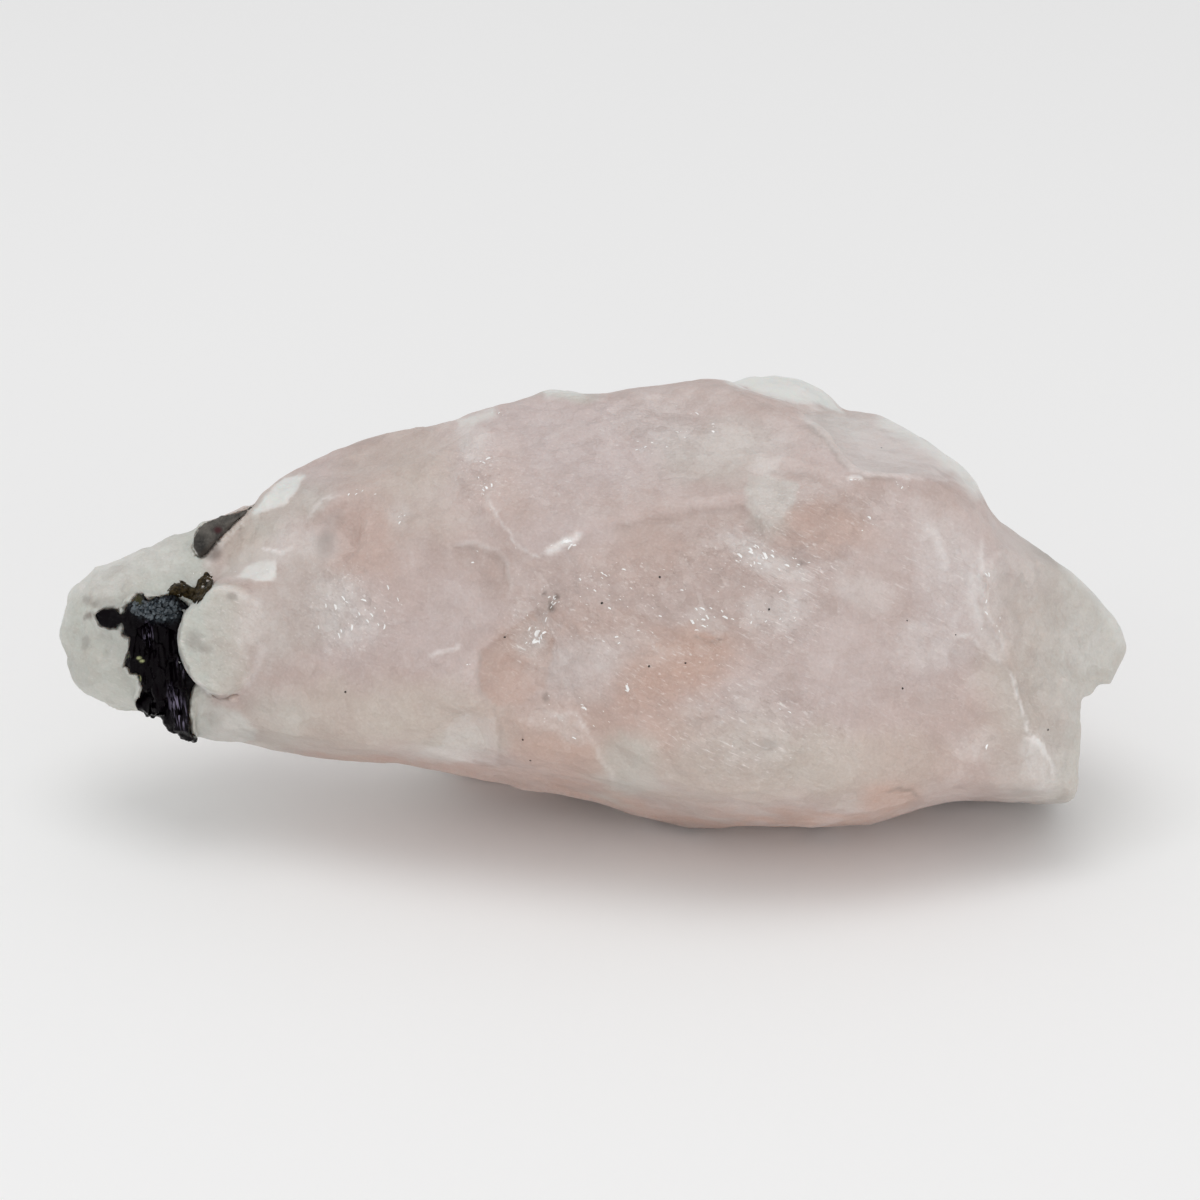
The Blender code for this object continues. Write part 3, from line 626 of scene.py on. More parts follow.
def grain_finish(name, dark, light, rough, gloss=0.5):
    rock = Finish(name)
    speckle = rock.clouds(rock.place(), 2.5, 4.0, 0.6)
    colour = rock.mix(speckle.between(0.3, 0.7), paint(dark), paint(light))
    normal = rock.bump(speckle, 0.4, 0.1)
    rough = rough + speckle * 0.15
    return rock.done(
        rock.shader(Base_Color=colour, Roughness=rough, Normal=normal, IOR=1.54, Specular_IOR_Level=gloss)
    )


# Pieces

def deselect():
    for piece in bpy.context.selected_objects:
        piece.select_set(False)


def make_active(piece):
    deselect()
    piece.select_set(True)
    bpy.context.view_layer.objects.active = piece


def applied(piece, kind, **settings):
    """Adds one modifier to a piece and applies it."""
    make_active(piece)
    modifier = piece.modifiers.new(kind.title(), kind)
    for setting, value in settings.items():
        setattr(modifier, setting, value)
    bpy.ops.object.modifier_apply(modifier=modifier.name)


def triangles_in(mesh):
    mesh.calc_loop_triangles()
    return len(mesh.loop_triangles)


def merged_copy(node, name):
    """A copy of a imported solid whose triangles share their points."""
    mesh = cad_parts[node].data.copy()
    mesh.name = name
    mesh.materials.clear()
    piece = bpy.data.objects.new(name, mesh)
    bpy.context.scene.collection.objects.link(piece)
    make_active(piece)
    bpy.ops.object.mode_set(mode="EDIT")
    bpy.ops.mesh.select_all(action="SELECT")
    bpy.ops.mesh.remove_doubles(threshold=1e-6)
    bpy.ops.object.mode_set(mode="OBJECT")
    return piece


def sunk_root(node, swell, sink):
    """The stone right behind some crystals: their own form, a little larger and sunk into the stone."""
    root = merged_copy(node, node + "_root")
    applied(root, "DISPLACE", strength=swell * MM, mid_level=0.0)
    root.data.transform(Matrix.Translation(Vector(ALONG_VIEW) * sink * MM))
    return root


def joined(piece, others):
    make_active(piece)
    for other in others:
        other.select_set(True)
    bpy.ops.object.join()


def fine_skin(piece, grain, soften):
    """Gives a piece one even, slightly softened skin."""
    applied(piece, "REMESH", mode="VOXEL", voxel_size=grain)
    applied(piece, "SMOOTH", factor=0.5, iterations=soften)


def plate(name, outline, solid, back, edge_drop, raised=0.0):
    """A grid trimmed to an outline in the picture, laid on the near side of a relief and made back thick."""
    xs = [x for x, _ in outline]
    ys = [y for _, y in outline]
    wide = max(xs) - min(xs) + 4.0
    high = max(ys) - min(ys) + 4.0
    deselect()
    bpy.ops.mesh.primitive_grid_add(x_subdivisions=int(wide), y_subdivisions=int(high), size=1.0)
    piece = bpy.context.object
    piece.name = name
    flat = mesh_points(piece.data)
    x = min(xs) - 2.0 + (flat[:, 0] + 0.5) * wide
    y = max(ys) + 2.0 - (flat[:, 1] + 0.5) * high
    kept = inside(outline, x, y, 0.1) > 0.5
    edge, _, _ = from_path(outline + outline[:1], x, y)
    seen = np.nonzero(solid.front > 0.3)[0]
    tree = picture_tree(solid, seen)
    depth = -solid.points @ ALONG_VIEW - MIDDLE[2]
    towards = np.zeros(len(x))
    for index in range(len(x)):
        near_by = [seen[place] for _, place, _ in tree.find_n((x[index], y[index], 0.0), 5)]
        towards[index] = np.median(depth[near_by])
    towards += (raised - edge_drop * (1.0 - smooth_step(edge / 4.0))) * MM
    piece.data.vertices.foreach_set("co", out_of_picture(x, y, towards).astype(np.float32).ravel())
    piece.data.update()
    bpy.ops.object.mode_set(mode="EDIT")
    shape = bmesh.from_edit_mesh(piece.data)
    shape.verts.ensure_lookup_table()
    for vert in shape.verts:
        vert.select_set(not kept[vert.index])
    shape.select_flush_mode()
    bmesh.update_edit_mesh(piece.data)
    bpy.ops.mesh.delete(type="VERT")
    bpy.ops.mesh.select_all(action="SELECT")
    bpy.ops.mesh.extrude_region_move(TRANSFORM_OT_translate={"value": tuple(ALONG_VIEW * back * MM)})
    bpy.ops.mesh.select_all(action="SELECT")
    bpy.ops.mesh.normals_make_consistent(inside=False)
    bpy.ops.object.mode_set(mode="OBJECT")
    return piece


def shade(piece, sharp_from, finish):
    """Smooth shading, with edges sharp from so many degrees on, and the piece's finish."""
    piece.data.shade_smooth()
    piece.data.set_sharp_from_angle(angle=math.radians(sharp_from))
    piece.data.materials.append(finish)


def thin_far_side(piece, triangles):
    """Keeps the fine skin where the camera looks, and a coarser one behind."""
    group = piece.vertex_groups.new(name="far_side")
    facing = Relief(piece.data).faces
    for index in np.nonzero(facing < 0.0)[0]:
        group.add([int(index)], 0.5, "REPLACE")
    share = triangles / triangles_in(piece.data)
    if share < 1.0:
        applied(piece, "DECIMATE", ratio=share, vertex_group="far_side", vertex_group_factor=1.0)
    piece.vertex_groups.clear()


# Outlines of the faces of the stone in the picture, and the lines of its ledges and edges.
SHIELD = [
    (212, 583), (196, 603), (183, 612), (178, 626), (176, 640), (177, 653), (182, 667), (189, 677),
    (201, 685), (208, 692), (221, 696), (232, 695), (243, 687), (252, 678), (254, 654), (267, 635),
    (262, 606), (240, 584),
]
GLASSY_FACET = [
    (253, 512), (268, 494), (285, 478), (304, 475), (296, 488), (287, 501), (270, 509), (255, 515),
]
GLASSY_BAND = [
    (218, 578), (232, 560), (246, 546), (281, 552), (275, 562), (273, 578), (250, 580), (232, 582),
]
LOW_LEFT_FACET = [(196, 700), (210, 704), (240, 712), (258, 730), (256, 741), (227, 746), (200, 743)]
CHIP_FLOOR = [
    (797, 412), (824, 435), (838, 455), (849, 471), (873, 474), (927, 477), (955, 472), (968, 477),
    (955, 460), (923, 441), (886, 418), (840, 412),
]
TOP_LENS = [(724, 381), (750, 366), (782, 366), (812, 380), (834, 400), (842, 411), (807, 404), (773, 397)]
RIGHT_END = [
    (1004, 545), (1034, 560), (1074, 587), (1109, 615), (1127, 648), (1107, 680), (1085, 689), (1074, 728),
    (1070, 797), (1052, 779), (1042, 745), (1023, 712), (1007, 661), (986, 610), (981, 570),
]
LONG_LEDGE = [
    (560, 545), (600, 524), (650, 518), (690, 508), (740, 503), (755, 518), (768, 530), (784, 512),
]
RIGHT_CREASE = [
    (982, 532), (980, 577), (986, 610), (993, 626), (1007, 661), (1013, 681), (1023, 712), (1029, 732),
    (1042, 745), (1052, 765), (1052, 779),
]
CENTRE_CREASE = [(484, 490), (500, 520), (520, 548), (538, 557), (560, 548), (580, 535)]
ARC_RIM = [(447, 546), (475, 543), (496, 551), (508, 566), (512, 585), (508, 605)]
PLATE_EDGE = [(548, 600), (510, 625), (478, 650), (480, 680), (482, 705), (436, 704)]
CHIP_EDGE = [(791, 410), (805, 421), (824, 435), (838, 455), (849, 471), (873, 475), (927, 479), (968, 479)]
TONGUE = [(748, 474), (775, 478), (800, 482), (795, 500), (784, 514), (768, 529), (757, 520), (746, 504)]
RECESS = [(482, 652), (510, 628), (532, 612), (556, 640), (545, 690), (520, 706), (492, 704), (480, 680)]
LOW_PLATE = [(438, 752), (448, 728), (466, 714), (496, 718), (499, 765), (470, 763)]
UNDERSIDE = [
    (290, 753), (400, 756), (450, 760), (500, 767), (560, 766), (600, 776), (640, 800), (670, 822),
    (610, 806), (560, 795), (500, 790), (450, 782), (400, 768), (300, 765),
]
SMALL_LEDGE = [(765, 471), (791, 471), (811, 475)]
WEDGE_LEDGE = [(660, 625), (690, 637), (725, 635)]
LOW_PLATE_STEP = [(436, 704), (460, 706), (482, 703), (500, 690)]
END_BRANCH = [(948, 633), (968, 636), (993, 657), (1007, 661)]
WEDGE = [(686, 614), (700, 607), (716, 616), (728, 630), (722, 637), (700, 632)]
WHITE_FACET = [(236, 577), (246, 566), (262, 561), (277, 560), (276, 571), (273, 580), (250, 579)]

# Where the break is hackly: middle and half sizes in pixels, strength.
HACKLY = [
    ((640, 610), (110, 50), 0.9), ((700, 680), (90, 50), 0.6), ((345, 612), (45, 40), 0.9),
    ((760, 560), (80, 35), 1.0), ((775, 615), (50, 35), 0.9), ((570, 470), (110, 40), 0.3),
    ((535, 630), (28, 40), 1.0), ((750, 730), (80, 45), 0.9), ((560, 700), (50, 35), 0.5),
    ((930, 590), (50, 70), 0.35), ((480, 470), (25, 30), 0.7), ((650, 428), (60, 28), 0.6),
    ((830, 510), (70, 25), 0.6), ((960, 700), (90, 60), 0.2),
]

# Soft washes of colour: middle and half sizes in pixels, turn in degrees, strength.
MOSS = [
    ((285, 505), (45, 22), -30.0, 0.45), ((275, 725), (30, 30), 0.0, 0.35),
    ((625, 768), (30, 32), 0.0, 0.55), ((715, 455), (55, 30), 0.0, 0.35), ((770, 512), (20, 26), 20.0, 0.35),
    ((560, 392), (32, 9), 0.0, 0.7), ((460, 745), (40, 16), 0.0, 0.3), ((835, 425), (28, 18), 0.0, 0.3),
    ((1060, 610), (40, 45), 30.0, 0.2), ((300, 600), (45, 60), 0.0, 0.25), ((240, 640), (40, 50), 0.0, 0.2),
]
MILK = [
    ((345, 612), (42, 34), 30.0, 0.45), ((262, 625), (16, 36), 0.0, 0.4), ((400, 512), (14, 16), 0.0, 0.4),
    ((470, 448), (16, 14), 0.0, 0.5), ((655, 428), (40, 20), 0.0, 0.3), ((745, 445), (50, 28), 0.0, 0.4),
    ((772, 470), (14, 14), 0.0, 0.4), ((758, 556), (44, 14), 30.0, 0.55), ((775, 613), (32, 20), 0.0, 0.45),
    ((865, 590), (28, 16), 20.0, 0.35), ((945, 560), (30, 50), -10.0, 0.35),
    ((935, 640), (40, 25), 0.0, 0.3), ((990, 610), (22, 45), -15.0, 0.45),
    ((1040, 762), (16, 28), -20.0, 0.5), ((568, 678), (40, 26), 0.0, 0.35),
    ((560, 725), (34, 12), 20.0, 0.35), ((452, 755), (42, 9), 0.0, 0.4), ((740, 725), (60, 32), 0.0, 0.25),
    ((612, 652), (60, 16), 0.0, 0.25), ((810, 405), (28, 8), 20.0, 0.4), ((530, 640), (18, 20), -30.0, 0.5),
    ((290, 545), (40, 18), -10.0, 0.4), ((975, 745), (22, 18), 0.0, 0.25), ((690, 400), (60, 12), 0.0, 0.2),
    ((1085, 640), (20, 40), 0.0, 0.2), ((800, 760), (60, 24), 0.0, 0.15),
    ((120, 565), (60, 22), -20.0, 0.35),
]
SAND = [
    ((340, 720), (90, 36), 0.0, 0.6), ((450, 720), (70, 36), 0.0, 0.55), ((1010, 680), (40, 90), 0.0, 0.4),
    ((740, 765), (120, 44), 0.0, 0.6), ((240, 538), (30, 30), 0.0, 0.6), ((860, 765), (90, 34), 0.0, 0.5),
    ((400, 460), (60, 30), -15.0, 0.3), ((420, 500), (40, 40), 0.0, 0.3), ((560, 740), (50, 26), 0.0, 0.4),
]
BLUSH = [
    ((680, 665), (62, 34), -25.0, 0.95), ((508, 662), (24, 34), 0.0, 0.75),
    ((366, 535), (30, 40), 10.0, 0.45), ((825, 530), (52, 22), 10.0, 0.55),
    ((570, 762), (60, 20), 12.0, 0.5), ((893, 800), (28, 18), 0.0, 0.85), ((650, 560), (60, 28), 0.0, 0.25),
    ((610, 625), (60, 20), 10.0, 0.3), ((930, 740), (90, 50), 0.0, 0.2), ((700, 640), (40, 20), 0.0, 0.3),
    ((600, 725), (100, 44), 0.0, 0.6), ((380, 580), (50, 30), 0.0, 0.15), ((500, 480), (30, 40), 0.0, 0.2),
]
MAUVE = [
    ((580, 440), (120, 50), 0.0, 0.7), ((880, 450), (70, 26), 20.0, 0.6), ((390, 620), (90, 50), 0.0, 0.35),
    ((560, 530), (50, 24), 0.0, 0.4), ((960, 600), (50, 70), 0.0, 0.5), ((1020, 560), (26, 36), 0.0, 0.4),
    ((860, 680), (80, 60), 0.0, 0.25), ((560, 690), (50, 34), 0.0, 0.4), ((310, 480), (40, 16), -35.0, 0.3),
]
# Dark marks of the stone's own, and painted shade low on the left lobe and beside the fold at the upper left.
DARK_MARKS_AND_SHADE = [
    ((332, 526), (8, 16), 35.0, 0.22), ((105, 668), (45, 35), 0.0, 0.08), ((88, 600), (5, 5), 0.0, 0.4),
    ((88, 617), (4, 4), 0.0, 0.7), ((86, 640), (4, 5), 0.0, 0.35), ((110, 604), (14, 8), 0.0, 0.2),
    ((95, 603), (5, 2.5), -30.0, 0.45), ((100, 612), (4, 2), 40.0, 0.4), ((84, 648), (2.5, 4), 20.0, 0.35),
    ((552, 606), (3, 5), -30.0, 0.9), ((558, 597), (3, 2), -40.0, 0.8), ((213, 552), (9, 8), 0.0, 0.75),
    ((803, 563), (4, 2), 20.0, 0.5), ((545, 697), (3, 5), 0.0, 0.5), ((545, 595), (4, 1.5), -20.0, 0.7),
    ((195, 640), (8, 10), 0.0, 0.3), ((207, 648), (7, 5), 20.0, 0.35), ((232, 597), (5, 4), 0.0, 0.4),
    ((768, 745), (10, 6), 0.0, 0.25), ((1046, 552), (18, 8), 35.0, 0.25), ((935, 700), (20, 12), 0.0, 0.08),
    ((325, 545), (10, 12), 10.0, 0.3),
]
# Painted shade along edges and under small ledges, and one real brown line left of the low left facet.
SHADE_LINES = [
    ([(765, 473), (791, 473), (811, 477)], 4.0, 0.15),
    ([(692, 637), (712, 640), (726, 638)], 2.0, 0.4),
    ([(482, 648), (478, 672), (481, 700)], 5.0, 0.2),
    ([(805, 424), (824, 438), (838, 458), (849, 474)], 4.0, 0.3),
    ([(849, 474), (873, 478), (900, 482)], 4.0, 0.25),
    ([(882, 793), (899, 788), (911, 791), (921, 800)], 4.0, 0.4),
    ([(447, 549), (475, 546), (496, 554), (508, 569), (512, 588)], 5.0, 0.18),
    ([(189, 679), (201, 687), (208, 694), (221, 698), (232, 697)], 3.0, 0.35),
    ([(192, 700), (194, 718), (198, 740)], 3.0, 0.4),
    ([(233, 722), (260, 738)], 3.0, 0.2),
    ([(495, 700), (500, 730), (499, 765)], 4.0, 0.15),
    ([(1010, 660), (1015, 680), (1026, 712), (1033, 730)], 4.0, 0.15),
]
# Painted light: pale rims where light shines through the thin stone: line, width in pixels, strength.
LIT_THROUGH_RIMS = [
    ([(870, 412), (903, 427), (935, 445), (961, 467), (978, 487), (985, 505)], 18.0, 0.8),
    ([(541, 395), (562, 388), (587, 394)], 9.0, 0.7),
    ([(455, 424), (472, 420), (499, 411)], 8.0, 0.6),
    ([(1060, 560), (1095, 592), (1118, 628), (1124, 655)], 12.0, 0.4),
    ([(62, 640), (66, 600), (90, 570), (150, 545)], 9.0, 0.3),
]
# Painted shade below ledges and edges: a warmer, darker tone that begins sharply at a line and fades out
# below it, or above it where the line runs left: line, width in pixels, strength.
SHADE_BELOW_EDGES = [
    ([(600, 526), (650, 520), (690, 509), (745, 504), (757, 520)], 34.0, 0.6),
    ([(784, 512), (800, 497), (840, 492), (880, 500)], 36.0, 0.6),
    ([(500, 520), (520, 548), (538, 557), (560, 552), (580, 540), (600, 528)], 30.0, 0.35),
    ([(447, 548), (475, 545), (496, 553), (508, 568), (512, 587), (507, 607)], 30.0, 0.4),
    ([(570, 594), (548, 602), (510, 627), (480, 652), (480, 680), (483, 706)][::-1], 44.0, 0.7),
    ([(436, 705), (460, 707), (483, 706)], 26.0, 0.3),
    ([(691, 637), (712, 640), (728, 636), (760, 628)], 22.0, 0.5),
    ([(806, 424), (824, 437), (838, 457), (849, 473)][::-1], 26.0, 0.4),
    ([(849, 475), (873, 477), (927, 481), (968, 481)], 26.0, 0.35),
    ([(765, 473), (791, 473), (811, 477), (830, 480)], 12.0, 0.5),
    ([(1052, 779), (1042, 745), (1023, 712), (1007, 661), (986, 610), (982, 560)], 50.0, 0.4),
    ([(948, 634), (968, 637), (993, 658)], 30.0, 0.35),
    ([(254, 514), (287, 503), (304, 478)], 18.0, 0.4),
    ([(306, 524), (322, 509), (348, 500)], 24.0, 0.6),
    ([(300, 500), (312, 520), (304, 545)], 14.0, 0.4),
    ([(236, 546), (258, 549), (282, 552)], 14.0, 0.4),
    ([(345, 470), (380, 480), (400, 505), (420, 540)], 30.0, 0.25),
    ([(640, 760), (620, 735), (606, 700)][::-1], 26.0, 0.3),
    ([(690, 700), (740, 690), (790, 705)], 24.0, 0.25),
    ([(870, 560), (905, 575), (930, 610)], 26.0, 0.25),
    ([(212, 582), (240, 582), (273, 580), (281, 560)], 16.0, 0.4),
    ([(262, 640), (254, 656), (252, 680), (232, 697), (208, 694), (189, 679)][::-1], 22.0, 0.35),
    ([(234, 708), (259, 730), (256, 742)][::-1], 24.0, 0.3),
]
BLUSH_RIMS = [
    ([(490, 768), (560, 786), (610, 800), (650, 815), (720, 825), (860, 820), (925, 806)], 14.0, 0.8),
    ([(290, 755), (400, 762), (450, 768), (500, 778)], 9.0, 0.6),
]
# White lines and films in the stone, and painted glints on some edges: line, width in pixels, strength.
VEILS_AND_GLINT_LINES = [
    (RIGHT_CREASE[:5], 4.0, 0.4),
    (RIGHT_CREASE[4:], 2.5, 0.6),
    ([(244, 690), (256, 668), (264, 640)], 7.0, 0.3),
    ([(200, 590), (222, 588), (252, 600)], 7.0, 0.25),
    ([(262, 549), (272, 549), (281, 552)], 2.5, 0.8),
    ([(268, 494), (285, 481), (302, 477)], 4.0, 0.4),
    ([(975, 560), (972, 600), (985, 640), (1003, 660)], 10.0, 0.3),
    ([(925, 520), (940, 545), (948, 575)], 8.0, 0.35),
    ([(940, 632), (955, 618), (975, 600)], 6.0, 0.2),
    (CENTRE_CREASE, 2.5, 0.35),
    (ARC_RIM, 4.0, 0.25),
    (CHIP_EDGE, 3.0, 0.25),
    (SHIELD[:12], 3.0, 0.55),
    ([(426, 657), (457, 648), (462, 642)], 4.0, 0.45),
    ([(742, 545), (752, 553), (773, 570)], 4.0, 0.5),
    (END_BRANCH, 4.0, 0.35),
    ([(543, 555), (553, 550), (567, 541), (583, 533)], 6.0, 0.85),
    ([(560, 700), (590, 735), (600, 755), (620, 790)], 5.0, 0.2),
    ([(545, 712), (560, 716), (575, 712), (590, 735)], 4.0, 0.4),
    ([(727, 381), (758, 392), (790, 399), (807, 403), (830, 410)], 4.0, 0.3),
    ([(847, 480), (855, 477), (863, 478)], 4.0, 0.8),
    ([(1020, 735), (1040, 745), (1052, 765), (1052, 779)], 4.0, 0.5),
    ([(205, 570), (215, 552), (232, 532), (246, 520)], 3.0, 0.4),
    ([(255, 515), (287, 501), (304, 475)], 3.0, 0.5),
    ([(262, 548), (281, 552), (296, 545)], 4.0, 0.4),
    ([(305, 520), (322, 500), (345, 492)], 3.0, 0.3),
]


# Patches with clear edges: outline, how soft its edge is in pixels, strength.
MOSS_PATCHES = [(LOW_LEFT_FACET, 8.0, 0.75), (TONGUE, 4.0, 0.45)]
# The milk on the low left facet, which faces down, is partly painted light.
MILK_PATCHES = [
    (WEDGE, 3.0, 0.35), (CHIP_FLOOR, 8.0, 0.55), (WHITE_FACET, 4.0, 0.9), (LOW_LEFT_FACET, 8.0, 0.4),
    (TONGUE, 4.0, 0.3), (LOW_PLATE, 4.0, 0.3),
]
# Clearer glassy faces, their near-white colour partly painted light shining through them.
CLEAR_LIT_THROUGH_PATCHES = [
    (GLASSY_FACET, 5.0, 1.0), (GLASSY_BAND, 8.0, 0.25), (WHITE_FACET, 3.0, 0.6), (TOP_LENS, 6.0, 1.0),
]
BLUSH_PATCHES = [(RECESS, 4.0, 0.7), (UNDERSIDE, 6.0, 0.45)]

# Steps: line, drop in millimetres (a rise where it is below zero), and how far the step runs out and how wide
# its edge is, both in pixels.
LEDGES = [
    (LONG_LEDGE, -0.35, 70.0, 14.0),
    (CENTRE_CREASE, -0.3, 40.0, 6.0),
    (SMALL_LEDGE, -0.2, 30.0, 6.0),
    (WEDGE_LEDGE, 0.12, 24.0, 3.0),
    (ARC_RIM, 0.25, 30.0, 5.0),
    (LOW_PLATE_STEP, 0.08, 24.0, 6.0),
]
# Raised edges: line, height in millimetres, width in pixels, and the share that tapers off at each end.
CRESTS = [
    (RIGHT_CREASE, 0.08, 9.0, 0.1),
    (END_BRANCH, 0.07, 7.0, 0.2),
    (CHIP_EDGE, 0.08, 7.0, 0.1),
    (PLATE_EDGE, 0.12, 8.0, 0.2),
    (SHIELD[:10], 0.12, 5.0, 0.1),
]
# A short raised edge at the upper left, over a darker patch of painted shade beside the fold.
FOLD_EDGE_UPPER_LEFT = [(316, 515), (344, 501)]


def fading_right(x):
    """The shield has a crisp left edge and passes into the stone on its right."""
    return smooth_step((276.0 - x) / 70.0)


def carve_quartz(relief):
    """The breaks, edges and hollows of the side that is seen."""
    straight = relief.x, relief.y
    relief.x, relief.y = relief.waver(6.0, 30.0)
    relief.flat_face(GLASSY_FACET, soft=5.0, lean_y=0.5)
    relief.flat_face(SHIELD, soft=8.0, share=fading_right(relief.x))
    relief.flat_face(RIGHT_END, soft=9.0)
    for line, drop, run, edge in LEDGES:
        relief.ledge(line, drop, run, edge)
    for line, height, width, ends in CRESTS:
        relief.crest(line, height, width, ends)
    relief.dish((440, 620), (70, 75), depth=0.3, turn=10.0)
    relief.dish((330, 528), (20, 28), depth=-0.4, turn=30.0)
    relief.crest(FOLD_EDGE_UPPER_LEFT, height=0.12, width=6.0)
    relief.x, relief.y = straight
    relief.dish((550, 602), (15, 20), depth=-0.5, turn=-20.0)
    relief.ripples((520, 690), 60, 190, spacing=23.0, height=0.05, middle_angle=225.0, half_angle=50.0)
    relief.ripples((700, 780), 60, 190, spacing=26.0, height=0.04, middle_angle=265.0, half_angle=55.0)
    relief.look()


def hackly_places(relief):
    """Where the break is rough and sparkles: 0 to 1."""
    x, y = relief.x, relief.y
    rough = np.zeros(len(x))
    for centre, radii, strength in HACKLY:
        rough = np.maximum(rough, smooth_step(1.6 - oval(centre, radii, x, y)) * strength)
    return rough * relief.front


def strongest(*masks):
    return np.maximum.reduce(masks)


def washed(washes, x, y):
    """One mask of many soft ovals, each its own strength."""
    left = np.ones(len(x))
    for centre, radii, turn, strength in washes:
        left *= 1.0 - smooth_step(1.5 - oval(centre, radii, x, y, turn)) * strength
    return 1.0 - left


def lined(lines, x, y, one_side=False):
    """One mask of many soft lines. A one-sided line begins sharply and fades out."""
    mask = np.zeros(len(x))
    for path, width, strength in lines:
        distance, side, along = from_path(path, x, y)
        line = smooth_step(1.0 - distance / width) * taper(along, 0.15) * strength
        if one_side:
            line *= smooth_step(side * distance / 3.0 + 0.5)
        mask = np.maximum(mask, line)
    return mask


def paint_quartz(relief, hackly):
    """The masks that the finish reads."""
    front = smooth_step((relief.faces + 0.3) / 0.3)
    x, y = relief.waver(12.0, 45.0)
    fine_x, fine_y = relief.waver(2.6, 14.0)

    def patched(patches):
        parts = [inside(line, fine_x, fine_y, soft) * share for line, soft, share in patches]
        return strongest(*parts)

    def shield(soft):
        return inside(SHIELD, fine_x, fine_y, soft) * fading_right(fine_x) * 0.7

    left_lobe = smooth_step((222.0 - x) / 20.0)
    right_end = smooth_step((x - 960.0) / 150.0) * 0.75
    masks = {
        # The tone is painted shade below ledges and edges.
        "tone": lined(SHADE_BELOW_EDGES, fine_x, fine_y, True) * front,
        "moss": strongest(washed(MOSS, x, y), left_lobe, right_end, patched(MOSS_PATCHES), shield(4.0)),
        "milk": strongest(washed(MILK, x, y), patched(MILK_PATCHES)) * front,
        "sand": strongest(washed(SAND, x, y), shield(6.0)),
        "clear": strongest(patched(CLEAR_LIT_THROUGH_PATCHES), lined(LIT_THROUGH_RIMS, fine_x, fine_y)) * front,
        "blush": strongest(washed(BLUSH, x, y), lined(BLUSH_RIMS, x, y), patched(BLUSH_PATCHES)),
        "mauve": washed(MAUVE, x, y),
        "shade": strongest(washed(DARK_MARKS_AND_SHADE, fine_x, fine_y), lined(SHADE_LINES, fine_x, fine_y)) * front,
        "veil_and_glint": lined(VEILS_AND_GLINT_LINES, fine_x, fine_y) * front,
        "fleck": hackly,
    }
    for name, values in masks.items():
        store_mask(relief.mesh, name, values)


def make_quartz():
    piece = merged_copy("rose_quartz", "quartz_skin")
    roots = [
        sunk_root("black_tourmaline", swell=0.3, sink=0.5),
        sunk_root("tourmaline_blade", swell=0.3, sink=0.3),
    ]
    joined(piece, roots)
    fine_skin(piece, SKIN_GRAIN, 4)
    thin_far_side(piece, SKIN_TRIANGLES)
    relief = Relief(piece.data)
    relief.draw_in_left_end()
    relief.make_bed(CRYSTAL_OUTLINE, 1.6, SHIELD)
    relief.make_bed(BLADE_OUTLINE, 0.9, SHIELD)
    # The stone just below the crystals is lifted, so that they end in front of it.
    lifted = spot((160, 740), (34, 17), relief, 22.0, 1.7)
    relief.points += lifted[:, None] * UP_IN_VIEW * 0.9 * MM
    relief.look()
    carve_quartz(relief)
    hackly = hackly_places(relief)
    on_shield = inside(SHIELD, relief.x, relief.y, 10.0)
    gritty = strongest(on_shield * 0.5, smooth_step((200.0 - relief.x) / 20.0) * 0.25)
    calm = 1.0 - 0.5 * on_shield
    relief.chips(calm, size=52.0, lean=0.24, step=0.03, stretch=1.4, turn=25.0, seed=SEED, blend=0.12)
    relief.look()
    rougher = (0.2 + 0.8 * hackly) * calm
    relief.chips(rougher, size=17.0, lean=0.14, step=0.03, stretch=1.5, turn=30.0, seed=SEED + 1, blend=0.1)
    relief.look()
    relief.chips(hackly, size=8.0, lean=0.12, step=0.05, stretch=1.6, turn=28.0, seed=SEED + 2)
    lobe = smooth_step((215.0 - relief.x) / 20.0)
    relief.chips(lobe, size=28.0, lean=0.3, step=0.06, stretch=1.2, turn=60.0, seed=SEED + 8, blend=0.1)
    relief.unevenness(np.ones(len(relief.x)), height=0.05, size=1.3)
    relief.keep_in(*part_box("rose_quartz"))
    relief.look()
    paint_quartz(relief, strongest(hackly, gritty))
    piece.data.shade_smooth()
    piece.data.materials.append(quartz_finish())
    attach(piece, "root")
    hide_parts("rose_quartz")
    return relief


CRYSTAL_OUTLINE = [
    (180, 598), (175, 594), (167, 594), (160, 597), (152, 597), (148, 601), (144, 597), (140, 593),
    (135, 597), (131, 603), (127, 603), (124, 607), (123, 614), (119, 615), (118, 612), (113, 608),
    (102, 609), (94, 615), (100, 625), (110, 629), (116, 628), (121, 622), (123, 625), (124, 629),
    (121, 635), (130, 637), (130, 646), (127, 656), (124, 666), (129, 667), (129, 673), (138, 674),
    (140, 681), (142, 688), (140, 695), (135, 702), (139, 711), (150, 718), (159, 716), (164, 721),
    (170, 730), (179, 737), (187, 741), (196, 742), (191, 733), (189, 715), (190, 698), (192, 690),
    (196, 680), (190, 664), (184, 650), (184, 635), (188, 618), (190, 606),
]
